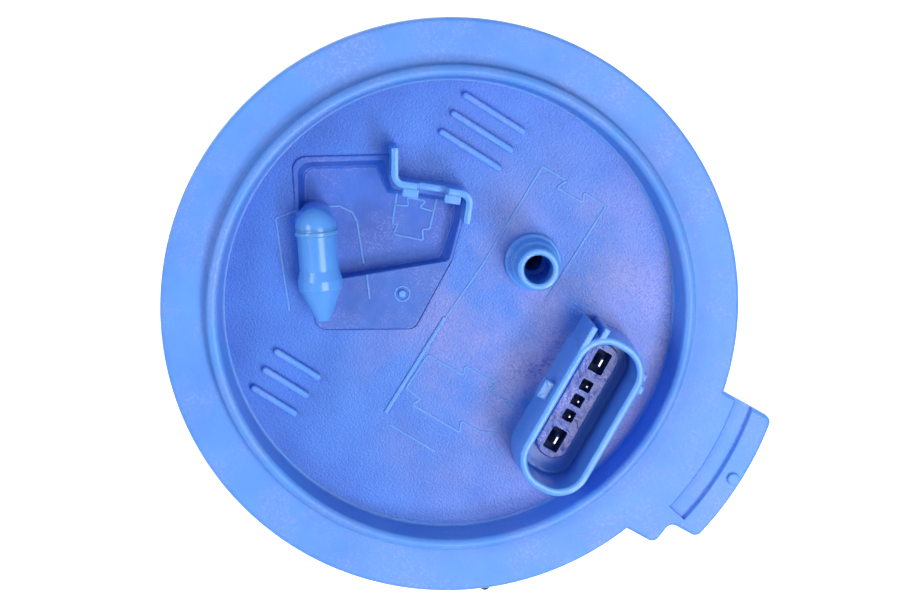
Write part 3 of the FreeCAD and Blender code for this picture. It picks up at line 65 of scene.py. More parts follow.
def linear(hexColour):
    # sRGB hex to linear red, green, blue, alpha
    channels = [int(hexColour[i:i + 2], 16) / 255 for i in (1, 3, 5)]
    return tuple(c / 12.92 if c <= 0.04045 else ((c + 0.055) / 1.055) ** 2.4 for c in channels) + (1.0,)


def addNode(tree, kind, values=(), links=(), **settings):
    # one shader node with its settings, its fixed inputs and its links
    made = tree.nodes.new(kind)
    for name, value in settings.items():
        setattr(made, name, value)
    for socket, value in dict(values).items():
        made.inputs[socket].default_value = value
    for socket, source in dict(links).items():
        tree.links.new(source, made.inputs[socket])
    return made


def newMaterial(name, fixed):
    # a Principled material whose even values sit on the shader's own sockets
    material = bpy.data.materials.new(name)
    material.use_nodes = True
    tree = material.node_tree
    shader = tree.nodes["Principled BSDF"]
    for socket, value in fixed.items():
        shader.inputs[socket].default_value = value
    place = addNode(tree, "ShaderNodeTexCoord").outputs["Object"]
    return material, tree, shader, place


def noiseField(tree, place, sizeMm, detail=3.0, rough=0.55):
    # noise whose blotches are about sizeMm across
    field = addNode(tree, "ShaderNodeTexNoise",
                    {"Scale": 1000.0 / sizeMm, "Detail": detail, "Roughness": rough}, {"Vector": place})
    return field.outputs["Fac"]


def spread(tree, source, low, high, toLow=0.0, toHigh=1.0):
    # stretches the part of a field between low and high
    made = addNode(tree, "ShaderNodeMapRange",
                   {"From Min": low, "From Max": high, "To Min": toLow, "To Max": toHigh},
                   {"Value": source}, clamp=True)
    return made.outputs["Result"]


def blendColours(tree, share, first, second):
    # first where share is 0, second where it is 1; either may be a colour or a socket
    made = addNode(tree, "ShaderNodeMix", data_type="RGBA")
    tree.links.new(share, made.inputs[0])
    for index, value in ((6, first), (7, second)):
        if isinstance(value, tuple):
            made.inputs[index].default_value = value
        else:
            tree.links.new(value, made.inputs[index])
    return made.outputs[2]


def product(tree, first, second):
    made = addNode(tree, "ShaderNodeMath", operation="MULTIPLY")
    for index, value in ((0, first), (1, second)):
        if isinstance(value, float):
            made.inputs[index].default_value = value
        else:
            tree.links.new(value, made.inputs[index])
    return made.outputs[0]


def bumped(tree, shader, fields):
    # heights in millimetres, one bump node after another
    normal = None
    for field, depthMm in fields:
        links = {"Height": field}
        if normal is not None:
            links["Normal"] = normal
        bump = addNode(tree, "ShaderNodeBump", {"Strength": 1.0, "Distance": depthMm * mm}, links)
        normal = bump.outputs["Normal"]
    tree.links.new(normal, shader.inputs["Normal"])


def mouldedPlastic(name, look):
    # injection moulded plastic: faint flow clouds in the colour, a fine sparked grain and slow sink waves
    material, tree, shader, place = newMaterial(name, {"IOR": look["ior"], "Specular IOR Level": 0.5,
                                                       "Subsurface Weight": look.get("glow", 0.0),
                                                       "Subsurface Radius": (0.35, 0.6, 1.0),
                                                       "Subsurface Scale": 0.002})
    clouds = spread(tree, noiseField(tree, place, look["cloud"], 4.0), 0.35, 0.68)
    grain = noiseField(tree, place, look["grain"], 2.0, 0.6)
    colour = blendColours(tree, clouds, linear(look["colour"]), linear(look["shade"]))
    # paler patches with flecks in them: glass fibres in the resin, painted reflection on the recess floor, painted
    # highlights on the potting gel, a paler lilac mottle on the rim and in the pocket
    if "dustAndSheen" in look:
        patches = spread(tree, noiseField(tree, place, look["patch"], 3.0), 0.40, 0.66)
        # painted reflection: the patches fade out with distance from one place
        if "sheenPlace" in look:
            away = addNode(tree, "ShaderNodeVectorMath", {1: look["sheenPlace"]}, {0: place},
                           operation="DISTANCE")
            near = spread(tree, away.outputs["Value"], look["sheenNear"] * mm, look["sheenFar"] * mm, 1.0, 0.0)
            patches = product(tree, patches, near)
        haze = product(tree, patches, look["haze"])
        colour = blendColours(tree, haze, colour, linear(look["dustAndSheen"]))
        specks = spread(tree, noiseField(tree, place, look["speck"], 1.0, 0.7), 0.5, 0.68)
        flecks = product(tree, product(tree, patches, specks), look["speckle"])
        colour = blendColours(tree, flecks, colour, linear(look["fleckAndGlint"]))
    tree.links.new(colour, shader.inputs["Base Color"])
    low, high = look["roughness"]
    tree.links.new(spread(tree, grain, 0.3, 0.7, low, high), shader.inputs["Roughness"])
    waves = noiseField(tree, place, look["wave"], 1.0)
    bumped(tree, shader, [(waves, look["waveDepth"]), (grain, look["grainDepth"])])
    return material


def drawnMetal(name, look):
    # metal drawn, rolled or turned: fine lines along one axis over a cloudy tone
    material, tree, shader, place = newMaterial(name, {"Metallic": 1.0})
    stretched = addNode(tree, "ShaderNodeMapping", {"Scale": look["lines"]}, {"Vector": place}).outputs["Vector"]
    lines = noiseField(tree, stretched, look["pitch"], 2.0, 0.6)
    clouds = spread(tree, noiseField(tree, place, look["cloud"], 3.0), 0.35, 0.7)
    colour = blendColours(tree, clouds, linear(look["colour"]), linear(look["shade"]))
    tree.links.new(colour, shader.inputs["Base Color"])
    low, high = look["roughness"]
    tree.links.new(spread(tree, lines, 0.3, 0.7, low, high), shader.inputs["Roughness"])
    bumped(tree, shader, [(lines, look["depth"])])
    return material


# Acetal moulded in a sparked mould: bright sky blue, silky, with a fine matt grain drawn at about 0.5 mm
blueAcetal = mouldedPlastic("blueAcetal", {
    "colour": "#5b9cf2", "shade": "#5391ea", "ior": 1.48, "cloud": 16.0, "grain": 0.5, "grainDepth": 0.03,
    "wave": 9.0, "waveDepth": 0.03, "roughness": (0.36, 0.52), "dustAndSheen": "#6f93e6", "patch": 11.0, "speck": 0.55,
    "haze": 0.5, "fleckAndGlint": "#9db4f0", "speckle": 0.4, "glow": 0.3})
# The same acetal from the polished parts of the mould: the stub, the port, the bracket and the socket. Painted
# light: its blue is painted a little lighter than the rim's, for raised parts that catch more light
blueAcetalPolishedLit = mouldedPlastic("blueAcetalPolishedLit", {
    "colour": "#60a3f7", "shade": "#579af1", "ior": 1.48, "cloud": 12.0, "grain": 0.6, "grainDepth": 0.008,
    "wave": 4.0, "waveDepth": 0.04, "roughness": (0.14, 0.24), "glow": 0.3})
# Painted shade and painted reflection: the floor of the recess is painted a deeper blue for the shade in the
# recess, and is glossier; its pale lilac haze of fine dark specks, strongest in its middle and towards the right
# and fading with distance, is a painted reflection
blueAcetalFloorShadeAndSheen = mouldedPlastic("blueAcetalFloorShadeAndSheen", {
    "colour": "#3878de", "shade": "#306acf", "ior": 1.48, "cloud": 14.0, "grain": 0.5, "grainDepth": 0.07,
    "wave": 12.0, "waveDepth": 0.1, "roughness": (0.2, 0.36), "dustAndSheen": "#8b91da", "patch": 17.0, "speck": 0.55,
    "sheenPlace": (0.026, 0.002, -0.0025), "sheenNear": 14.0, "sheenFar": 50.0, "haze": 0.9, "fleckAndGlint": "#4660c8",
    "speckle": 1.0})
# Painted shade: the pocket is moulded deeper and catches less light, so its acetal is painted a darker, more even
# blue, with faint paler lilac patches and pale flecks
blueAcetalPocketShade = mouldedPlastic("blueAcetalPocketShade", {
    "colour": "#2c68cf", "shade": "#255bbf", "ior": 1.48, "cloud": 9.0, "grain": 0.45, "grainDepth": 0.03,
    "wave": 7.0, "waveDepth": 0.08, "roughness": (0.34, 0.5), "dustAndSheen": "#5f7bd6", "patch": 8.0, "speck": 0.42,
    "haze": 0.3, "fleckAndGlint": "#93a6ea", "speckle": 0.4})
# Potting gel that has crept over the island of the socket: dark, wet and wrinkled; its paler lilac patches and
# pale flecks are painted highlights on the wrinkles
pottingGel = mouldedPlastic("pottingGel", {
    "colour": "#2c57bd", "shade": "#24479f", "ior": 1.45, "cloud": 3.0, "grain": 0.9, "grainDepth": 0.09,
    "wave": 2.4, "waveDepth": 0.16, "roughness": (0.06, 0.2), "dustAndSheen": "#6a78c9", "patch": 3.5, "speck": 0.5,
    "haze": 0.45, "fleckAndGlint": "#b9bff0", "speckle": 0.5})
# The well floors are the same acetal as moulded, deep in their wells and dull; painted shade: their blue is
# painted dark navy for the shade down in the wells
wellShadowBlue = mouldedPlastic("wellShadowBlue", {
    "colour": "#1d3574", "shade": "#182c63", "ior": 1.48, "cloud": 2.0, "grain": 0.3, "grainDepth": 0.02,
    "wave": 2.0, "waveDepth": 0.02, "roughness": (0.6, 0.8)})
naturalAcetal = mouldedPlastic("naturalAcetal", {
    "colour": "#dcd8c8", "shade": "#d2cdb9", "ior": 1.48, "cloud": 20.0, "grain": 0.5, "grainDepth": 0.01,
    "wave": 10.0, "waveDepth": 0.04, "roughness": (0.34, 0.48)})
whiteAcetal = mouldedPlastic("whiteAcetal", {
    "colour": "#e4e3dd", "shade": "#d9d8d0", "ior": 1.48, "cloud": 12.0, "grain": 0.4, "grainDepth": 0.01,
    "wave": 7.0, "waveDepth": 0.03, "roughness": (0.32, 0.45)})
blackAcetal = mouldedPlastic("blackAcetal", {
    "colour": "#1d1e20", "shade": "#26272a", "ior": 1.48, "cloud": 14.0, "grain": 0.4, "grainDepth": 0.012,
    "wave": 8.0, "waveDepth": 0.04, "roughness": (0.38, 0.52)})
# Glass filled resin: dull dark grey with short pale fibres near the skin
filledResin = mouldedPlastic("filledResin", {
    "colour": "#33353a", "shade": "#2a2b2f", "ior": 1.5, "cloud": 6.0, "grain": 0.25, "grainDepth": 0.01,
    "wave": 5.0, "waveDepth": 0.03, "roughness": (0.45, 0.62), "dustAndSheen": "#3d3f44", "patch": 4.0, "speck": 0.4,
    "haze": 0.5, "fleckAndGlint": "#6b6e74", "speckle": 0.6})
hoseNylon = mouldedPlastic("hoseNylon", {
    "colour": "#d8ccb0", "shade": "#cdbf9f", "ior": 1.53, "cloud": 15.0, "grain": 0.5, "grainDepth": 0.01,
    "wave": 5.0, "waveDepth": 0.03, "roughness": (0.3, 0.42)})
mouldedRubber = mouldedPlastic("mouldedRubber", {
    "colour": "#1a1a1b", "shade": "#222223", "ior": 1.52, "cloud": 8.0, "grain": 0.3, "grainDepth": 0.012,
    "wave": 4.0, "waveDepth": 0.03, "roughness": (0.6, 0.78)})
# Closed cell foam: small pits all over a dull black skin
floatFoam = mouldedPlastic("floatFoam", {
    "colour": "#232325", "shade": "#2d2d30", "ior": 1.5, "cloud": 5.0, "grain": 0.7, "grainDepth": 0.09,
    "wave": 3.0, "waveDepth": 0.05, "roughness": (0.7, 0.9)})
sinteredFerrite = mouldedPlastic("sinteredFerrite", {
    "colour": "#3c3d40", "shade": "#323336", "ior": 1.6, "cloud": 5.0, "grain": 0.2, "grainDepth": 0.008,
    "wave": 3.0, "waveDepth": 0.02, "roughness": (0.55, 0.7)})
pressedCarbon = mouldedPlastic("pressedCarbon", {
    "colour": "#2a2a2c", "shade": "#202022", "ior": 1.6, "cloud": 3.0, "grain": 0.2, "grainDepth": 0.008,
    "wave": 2.0, "waveDepth": 0.02, "roughness": (0.5, 0.65)})
brownPhenolic = mouldedPlastic("brownPhenolic", {
    "colour": "#6b4526", "shade": "#5a381e", "ior": 1.55, "cloud": 4.0, "grain": 0.25, "grainDepth": 0.008,
    "wave": 3.0, "waveDepth": 0.02, "roughness": (0.4, 0.55)})
firedCard = mouldedPlastic("firedCard", {
    "colour": "#dfe0da", "shade": "#d2d4cd", "ior": 1.6, "cloud": 5.0, "grain": 0.2, "grainDepth": 0.004,
    "wave": 4.0, "waveDepth": 0.01, "roughness": (0.3, 0.4)})
wovenStrainer = mouldedPlastic("wovenStrainer", {
    "colour": "#d9d6c6", "shade": "#c9c6b4", "ior": 1.53, "cloud": 6.0, "grain": 0.3, "grainDepth": 0.05,
    "wave": 4.0, "waveDepth": 0.05, "roughness": (0.55, 0.7)})
# Tin plating on brass: soft white metal, slightly cloudy
tinPlate = drawnMetal("tinPlate", {
    "colour": "#b9b9b8", "shade": "#8f9092", "lines": (1.0, 1.0, 0.15), "pitch": 0.2, "depth": 0.006,
    "cloud": 1.6, "roughness": (0.22, 0.38)})
groundSteel = drawnMetal("groundSteel", {
    "colour": "#c9cacb", "shade": "#b4b6b8", "lines": (1.0, 1.0, 8.0), "pitch": 1.2, "depth": 0.003,
    "cloud": 12.0, "roughness": (0.16, 0.3)})
springSteel = drawnMetal("springSteel", {
    "colour": "#a9aaab", "shade": "#8f9193", "lines": (1.0, 1.0, 1.0), "pitch": 0.4, "depth": 0.004,
    "cloud": 6.0, "roughness": (0.28, 0.42)})
rolledStainless = drawnMetal("rolledStainless", {
    "colour": "#c4c5c4", "shade": "#adafae", "lines": (0.2, 0.2, 4.0), "pitch": 0.8, "depth": 0.003,
    "cloud": 8.0, "roughness": (0.2, 0.34)})
zincPlate = drawnMetal("zincPlate", {
    "colour": "#c2c5c4", "shade": "#a8adae", "lines": (1.0, 1.0, 0.4), "pitch": 0.6, "depth": 0.004,
    "cloud": 7.0, "roughness": (0.3, 0.45)})
passivatedSteel = drawnMetal("passivatedSteel", {
    "colour": "#cfc39a", "shade": "#bfae84", "lines": (1.0, 1.0, 0.3), "pitch": 0.7, "depth": 0.004,
    "cloud": 5.0, "roughness": (0.28, 0.42)})
stampedSteel = drawnMetal("stampedSteel", {
    "colour": "#8d8f92", "shade": "#76787b", "lines": (0.3, 0.3, 6.0), "pitch": 1.0, "depth": 0.01,
    "cloud": 5.0, "roughness": (0.35, 0.5)})
enamelledCopper = drawnMetal("enamelledCopper", {
    "colour": "#b5612c", "shade": "#9a4c1f", "lines": (0.3, 0.3, 6.0), "pitch": 0.9, "depth": 0.03,
    "cloud": 3.0, "roughness": (0.25, 0.4)})
contactAlloy = drawnMetal("contactAlloy", {
    "colour": "#d0b072", "shade": "#bd9a5a", "lines": (1.0, 1.0, 0.2), "pitch": 0.3, "depth": 0.003,
    "cloud": 2.0, "roughness": (0.22, 0.35)})
print("materials made")


# Shapes worked out in millimetres

def roundedPath(corners, rounds, closed=True, arcSteps=6):
    # corners replaced by tangent arcs: each arc's points are turned evenly from one tangent point to the other
    corners = np.array(corners, float)
    rounds = np.broadcast_to(np.array(rounds, float), len(corners)).copy()
    if not closed:
        rounds[[0, -1]] = 0.0
    before = np.roll(corners, 1, axis=0) - corners
    after = np.roll(corners, -1, axis=0) - corners
    beforeLength = np.linalg.norm(before, axis=1)
    afterLength = np.linalg.norm(after, axis=1)
    before /= beforeLength[:, None]
    after /= afterLength[:, None]
    half = 0.5 * np.arccos(np.clip((before * after).sum(axis=1), -1.0, 1.0 - 1e-12))
    slope = np.tan(half)
    reach = np.minimum(rounds / slope, 0.499 * np.minimum(beforeLength, afterLength))
    reach[rounds == 0] = 0.0
    turn = np.maximum(math.pi - 2 * half, 1e-6)[:, None]
    middle = before + after
    middle /= np.maximum(np.linalg.norm(middle, axis=1), 1e-9)[:, None]
    centre = corners + middle * (reach * slope / np.sin(half))[:, None]
    first = corners + before * reach[:, None] - centre
    last = corners + after * reach[:, None] - centre
    share = np.linspace(0, 1, arcSteps + 1)[None, :]
    weightFirst = (np.sin((1 - share) * turn) / np.sin(turn))[:, :, None]
    weightLast = (np.sin(share * turn) / np.sin(turn))[:, :, None]
    arcs = centre[:, None] + first[:, None] * weightFirst + last[:, None] * weightLast
    flat = (rounds == 0) | (turn[:, 0] < 1e-3)
    arcs[flat] = corners[flat][:, None]
    return arcs.reshape(-1, corners.shape[1])


def evenly(path, spacing, closed=True):
    # the same line with every stretch cut into equal steps no longer than the spacing
    line = np.vstack([path, path[:1]]) if closed else path
    length = np.linalg.norm(np.diff(line, axis=0), axis=1)
    line = line[np.concatenate([[True], length > 1e-6])]
    stretch = np.diff(line, axis=0)
    count = np.maximum(np.ceil(np.linalg.norm(stretch, axis=1) / spacing), 1).astype(int)
    number = np.arange(count.sum()) - np.repeat(np.cumsum(count) - count, count)
    steps = np.repeat(stretch / count[:, None], count, axis=0)
    points = np.repeat(line[:-1], count, axis=0) + steps * number[:, None]
    return points if closed else np.vstack([points, line[-1:]])


def outline(corners, rounds, spacing=0.5, arcSteps=6):
    return evenly(roundedPath(corners, rounds, True, arcSteps), spacing)


def rectLoop(place, width, length, rounding, arcSteps=8, runSteps=8):
    # rounded rectangle with the same number of points for every size
    x, y = width / 2, length / 2
    corners = np.array([(-x, -y), (x, -y), (x, y), (-x, y)]) + np.array(place)
    arcs = roundedPath(corners, rounding, True, arcSteps).reshape(4, arcSteps + 1, 2)
    share = np.linspace(0, 1, runSteps + 1)[1:-1][None, :, None]
    runs = arcs[:, -1:, :] * (1 - share) + np.roll(arcs, -1, axis=0)[:, :1, :] * share
    return np.concatenate([arcs, runs], axis=1).reshape(-1, 2)


def ringLoop(place, radius, steps=96):
    angle = np.linspace(0, 2 * math.pi, steps, endpoint=False)
    return np.array(place) + radius * np.stack([np.cos(angle), np.sin(angle)], axis=1)


def inset(loop, distance):
    # moves a closed loop inwards along its own normals, by distance
    ahead = np.roll(loop, -1, axis=0) - loop
    behind = loop - np.roll(loop, 1, axis=0)
    ahead /= np.maximum(np.linalg.norm(ahead, axis=1), 1e-9)[:, None]
    behind /= np.maximum(np.linalg.norm(behind, axis=1), 1e-9)[:, None]
    along = ahead + behind
    along /= np.maximum(np.linalg.norm(along, axis=1), 1e-9)[:, None]
    following = np.roll(loop, -1, axis=0)
    area = (loop[:, 0] * following[:, 1] - following[:, 0] * loop[:, 1]).sum()
    inward = np.stack([-along[:, 1], along[:, 0]], axis=1) * np.sign(area)
    stretch = 1.0 / np.maximum((along * ahead).sum(axis=1), 0.5)
    return loop + inward * (distance * stretch)[:, None]


def level(loop, z):
    # the loop as points in space, at one height or at a height for each point
    return np.column_stack([loop, np.broadcast_to(z, len(loop))])


def pole(loop, z, place=None):
    # every point of the loop drawn together at one place, which closes an end
    middle = loop.mean(axis=0) if place is None else np.array(place)
    return level(np.repeat(middle[None], len(loop), axis=0), z)


def braced(profile, gap=0.12):
    # the same line with a point near both ends of every long straight, so that flat faces shade flat
    points = [profile[0]]
    for first, last in zip(profile[:-1], profile[1:]):
        length = np.linalg.norm(last - first)
        if length > 6 * gap:
            way = (last - first) * (gap / length)
            points += [first + way, last - way]
        points.append(last)
    return np.array(points)


def slabOf(loop, low, high, place=None):
    # plain slab of an outline, with sharp edges
    rows = [pole(loop, low, place), level(loop, low), level(loop, high), pole(loop, high, place)]
    return np.stack(rows), True


def prism(loop, low, high, edge=0.3, lowEdge=0.02, steps=4, place=None):
    # slab of an outline: quarter rounds of radius edge at the top and lowEdge at the bottom
    angle = np.linspace(0, math.pi / 2, steps + 1)
    shape = [(lowEdge * (1 - math.sin(a)), low + lowEdge * (1 - math.cos(a))) for a in angle]
    shape += [(edge * (1 - math.cos(a)), high - edge * (1 - math.sin(a))) for a in angle]
    shape = braced(np.array([(shape[0][0] + 0.12, low)] + shape + [(edge + 0.12, high)]))
    rows = [pole(loop, low, place)] + [level(inset(loop, d), z) for d, z in shape] + [pole(loop, high, place)]
    return np.stack(rows), True


def turned(profile, place=(0.0, 0.0), steps=96, rounding=0.0, arcSteps=4):
    # profile of (radius, height) points turned about an upright axis; rounding softens its corners
    profile = np.array(profile, float)
    if rounding:
        profile = roundedPath(profile, rounding, False, arcSteps)
    profile = braced(profile)
    angle = np.linspace(0, 2 * math.pi, steps, endpoint=False)
    x = place[0] + profile[:, :1] * np.cos(angle)
    y = place[1] + profile[:, :1] * np.sin(angle)
    return np.stack([x, y, np.broadcast_to(profile[:, 1:], x.shape)], axis=-1), True


def turnedRing(profile, place=(0.0, 0.0), steps=96, rounding=0.0, arcSteps=4):
    # as turned, for a profile that closes on itself away from the axis
    profile = np.array(profile, float)
    if rounding:
        profile = roundedPath(profile, rounding, True, arcSteps)
    return turned(np.vstack([profile, profile[:1]]), place, steps)


def ridge(path, width, low, high, edge=0.25, steps=3):
    # wall that follows an open path: its section is upright with rounded top edges, and both ends are closed
    ahead = np.gradient(path, axis=0)
    ahead /= np.linalg.norm(ahead, axis=1)[:, None]
    across = np.stack([-ahead[:, 1], ahead[:, 0]], axis=1)
    top = np.broadcast_to(np.array(high, float), len(path))
    angle = np.linspace(0, math.pi / 2, steps + 1)
    reach = width / 2 - edge * (1 - np.cos(angle))
    drop = edge * (1 - np.sin(angle))
    reach = np.concatenate([[width / 2, width / 2], reach])
    drop = np.concatenate([[np.nan, edge + 0.15], drop])
    offsets = np.concatenate([reach, -reach[::-1]])
    drops = np.concatenate([drop, drop[::-1]])
    rows = []
    for offset, fall in zip(offsets, drops):
        z = np.full(len(path), float(low)) if np.isnan(fall) else top - fall
        rows.append(level(path + across * offset, z))
    rows.append(rows[0])
    rows = np.stack(rows)
    middle = (rows[:-1].min(axis=0) + rows[:-1].max(axis=0)) / 2
    first = np.broadcast_to(middle[:1], (len(rows), 1, 3))
    last = np.broadcast_to(middle[-1:], (len(rows), 1, 3))
    return np.concatenate([first, rows, last], axis=1), False


def pipe(path, radius, steps=24):
    # round tube along a line in space: circles carried along it without twisting, closed at both ends
    ahead = np.gradient(path, axis=0)
    ahead /= np.linalg.norm(ahead, axis=1)[:, None]
    side = np.cross(ahead[0], (0.31, 0.52, 0.79))
    sides = np.empty_like(path)
    for i, way in enumerate(ahead):
        side = side - way * side.dot(way)
        side /= np.linalg.norm(side)
        sides[i] = side
    ups = np.cross(ahead, sides)
    angle = np.linspace(0, 2 * math.pi, steps, endpoint=False)
    radius = np.broadcast_to(np.array(radius, float), len(path))[:, None, None]
    ring = sides[:, None] * np.cos(angle)[None, :, None] + ups[:, None] * np.sin(angle)[None, :, None]
    rows = path[:, None] + ring * radius
    first = np.broadcast_to(path[:1, None], (1, steps, 3))
    last = np.broadcast_to(path[-1:, None], (1, steps, 3))
    return np.concatenate([first, rows, last]), True


def moved(surface, turnMatrix, shift=(0.0, 0.0, 0.0)):
    rows, closed = surface
    return rows @ np.array(turnMatrix, float).T + np.array(shift, float), closed


def aboutZ(degrees):
    c, s = math.cos(math.radians(degrees)), math.sin(math.radians(degrees))
    return np.array([(c, -s, 0), (s, c, 0), (0, 0, 1)])


layAlongX = np.array([(0, 0, 1), (0, 1, 0), (-1, 0, 0)])  # stands an upright shape along +X


def dress(piece, name, body, material, replaced=()):
    piece.name = name
    piece.data.materials.clear()
    piece.data.materials.append(material)
    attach(piece, body)
    if replaced:
        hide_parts(*replaced)
    return piece


flatAngle = 32.0  # faces that meet at more degrees than this shade with a sharp edge


def meshOf(name, surfaces, smooth=flatAngle):
    # quads between neighbouring rows and columns of every grid, seams and poles merged, faces outwards
    points, quads, start = [], [], 0
    for rows, closed in surfaces:
        index = start + np.arange(rows.shape[0] * rows.shape[1]).reshape(rows.shape[:2])
        left = index if closed else index[:, :-1]
        right = np.roll(index, -1, axis=1) if closed else index[:, 1:]
        quads.append(np.stack([left[:-1], right[:-1], right[1:], left[1:]], axis=-1).reshape(-1, 4))
        points.append(rows.reshape(-1, 3))
        start += index.size
    mesh = bpy.data.meshes.new(name)
    mesh.from_pydata((np.concatenate(points) * mm).tolist(), [], np.concatenate(quads).tolist())
    work = bmesh.new()
    work.from_mesh(mesh)
    bmesh.ops.remove_doubles(work, verts=work.verts, dist=2e-6)
    bmesh.ops.dissolve_degenerate(work, edges=work.edges, dist=1e-6)
    bmesh.ops.recalc_face_normals(work, faces=work.faces)
    work.to_mesh(mesh)
    work.free()
    mesh.shade_smooth()
    mesh.set_sharp_from_angle(angle=math.radians(smooth))
    piece = bpy.data.objects.new(name, mesh)
    bpy.context.scene.collection.objects.link(piece)
    return piece


def cutAway(piece, surfaces):
    # takes closed shapes out of a piece
    for surface in surfaces:
        cutter = meshOf("cutter", [surface])
        change = piece.modifiers.new("cut", "BOOLEAN")
        change.operation, change.solver, change.object = "DIFFERENCE", "EXACT", cutter
        bpy.context.view_layer.objects.active = piece
        bpy.ops.object.modifier_apply(modifier=change.name)
        bpy.data.objects.remove(cutter)
    piece.data.shade_smooth()
    piece.data.set_sharp_from_angle(angle=math.radians(flatAngle))


def makePiece(name, surfaces, body, slotName, material, replaced=(), cuts=(), smooth=flatAngle):
    piece = meshOf(name, surfaces, smooth)
    cutAway(piece, cuts)
    return dress(piece, name, body, material, replaced)


# Flange: one moulding, whose parts below share its body

flangeSlot = ("tank_flange", "blue_acetal", blueAcetal)
polishedLitSlot = ("tank_flange", "blue_acetal", blueAcetalPolishedLit)
plate = {"radius": 65.0, "top": 3.5, "edge": 0.8, "seat": 57.3, "grooveDepth": 1.5, "spigot": 53.2,
         "spigotWall": 2.0, "spigotDepth": 9.0, "floorTop": -2.5, "floorBottom": -5.0, "floorRadius": 51.1,
         "floorSeat": 50.6}
collar = {"outer": 54.8, "inner": 52.2, "top": 7.3}
tab = {"radius": 77.6, "upper": 13.4, "lower": -18.7, "stepReach": 67.4, "stepSide": -24.6, "round": 1.8,
       "grooveInner": 68.0, "grooveOuter": 72.4, "grooveDepth": 1.4, "grooveEnd": -11.5,
       "pip": (75.6, -2.9), "pipRadius": 1.4, "pipHeight": 0.9}
floorTop = plate["floorTop"]
floorBottom = plate["floorBottom"]


def onCircle(radius, degrees):
    angle = np.radians(degrees)
    return np.stack([radius * np.cos(angle), radius * np.sin(angle)], axis=-1)


def flangeOutline():
    # circle with a stepped tab, counter-clockwise from the tab's upper root
    reach = tab["radius"]
    upperAngle = math.degrees(math.asin(tab["upper"] / reach))
    lowerAngle = math.degrees(math.asin(tab["lower"] / reach))
    rootUpper = math.degrees(math.asin(tab["upper"] / plate["radius"]))
    rootLower = math.degrees(math.asin(tab["stepSide"] / plate["radius"]))
    circle = onCircle(plate["radius"], np.arange(rootUpper, 360 + rootLower, 0.45))
    root = onCircle(plate["radius"], np.array([360 + rootLower]))
    step = np.array([(tab["stepReach"], tab["stepSide"]), (tab["stepReach"] + 0.9, tab["lower"])])
    between = np.arange(lowerAngle + 3, upperAngle - 3, 1.0)
    arc = onCircle(reach, np.concatenate([[lowerAngle], between, [upperAngle]]))
    corners = np.vstack([circle, root, step, arc])
    rounds = np.zeros(len(corners))
    first = len(circle) + 1
    rounds[first:first + 3] = tab["round"]
    rounds[-1] = tab["round"]
    return outline(corners, rounds, 0.6)


def flangeRim():
    edge = plate["edge"]
    around = flangeOutline()
    radius = np.linalg.norm(around, axis=1)[:, None]
    turn = around / radius
    inner = plate["spigot"] - plate["spigotWall"]
    end = -plate["spigotDepth"]
    under = [(plate["floorSeat"], floorTop), (plate["floorSeat"], floorBottom + 0.1),
             (inner, floorBottom + 0.1), (inner, end + 0.3), (inner + 0.3, end),
             (plate["spigot"] - 0.3, end), (plate["spigot"], end + 0.3),
             (plate["spigot"], plate["grooveDepth"]), (plate["seat"], plate["grooveDepth"]),
             (plate["seat"], 0.0), (plate["seat"] + 0.15, 0.0)]
    angle = np.linspace(0, math.pi / 2, 6)
    rim = [(0.55, 0.0), (0.4, 0.0), (0.0, 0.4), (0.0, 0.55), (0.0, plate["top"] - edge - 0.15)]
    rim += [(edge * (1 - math.cos(a)), plate["top"] - edge * (1 - math.sin(a))) for a in angle]
    rim.append((edge + 0.15, plate["top"]))
    crown = (collar["outer"] - collar["inner"]) / 2
    middle = collar["inner"] + crown
    shoulder = collar["top"] - crown
    fillet = 0.6  # at the collar's outer foot and at the floor's edge
    top = [(collar["outer"] + 0.9, plate["top"])]
    top += [(collar["outer"] + fillet * (1 - math.sin(a)), plate["top"] + fillet * (1 - math.cos(a)))
            for a in angle]
    top.append((collar["outer"], shoulder - 0.15))
    over = np.linspace(0, math.pi, 13)
    top += [(middle + crown * math.cos(a), shoulder + crown * math.sin(a)) for a in over]
    foot = plate["floorRadius"] + 0.12
    top += [(collar["inner"] - 0.02, shoulder - 0.15), (foot, floorTop + 0.75)]
    top += [(foot - fillet * (1 - math.cos(a)), floorTop + fillet * (1 - math.sin(a))) for a in angle]
    rows = [level(turn * r, z) for r, z in under]
    rows += [level(inset(around, d), z) for d, z in rim]
    rows += [level(turn * r, z) for r, z in top]
    rows.append(rows[0])
    return np.stack(rows), True


def tabGroove():
    # section with flared top edges swept along an arc out through the tab's upper side, and a square end
    inner, outer = tab["grooveInner"], tab["grooveOuter"]
    half, top = (outer - inner) / 2, plate["top"]
    bottom = top - tab["grooveDepth"]
    side = [(half - 0.4, bottom), (half, bottom + 0.4), (half, top - 0.25), (half + 0.25, top),
            (half + 0.3, top + 0.3)]
    section = np.array([(-r, z) for r, z in side] + side[::-1] + [(0.4 - half, bottom)])
    endUpper = math.degrees(math.asin((tab["upper"] + 5) / inner))
    turn = onCircle(1.0, np.arange(tab["grooveEnd"] - 1.7, endUpper, 0.5))
    rows = np.stack([level(turn * (inner + half + r), z) for r, z in section])
    ends = [np.broadcast_to(rows[:-1, [i]].mean(axis=0, keepdims=True), (len(rows), 1, 3)) for i in (0, -1)]
    return [(np.concatenate([ends[0], rows, ends[1]], axis=1), False)]


makePiece("flangeRim", [flangeRim()], *flangeSlot, replaced=["flange"], cuts=tabGroove())
pipProfile = [(0, plate["top"] - 0.5), (tab["pipRadius"] + 0.3, plate["top"] - 0.5),
              (tab["pipRadius"], plate["top"]), (tab["pipRadius"], plate["top"] + tab["pipHeight"]),
              (0, plate["top"] + tab["pipHeight"])]
makePiece("tabPip", [turned(pipProfile, tab["pip"], 40, [0, 0, 0, 0.35, 0])], *flangeSlot)
print("rim made")

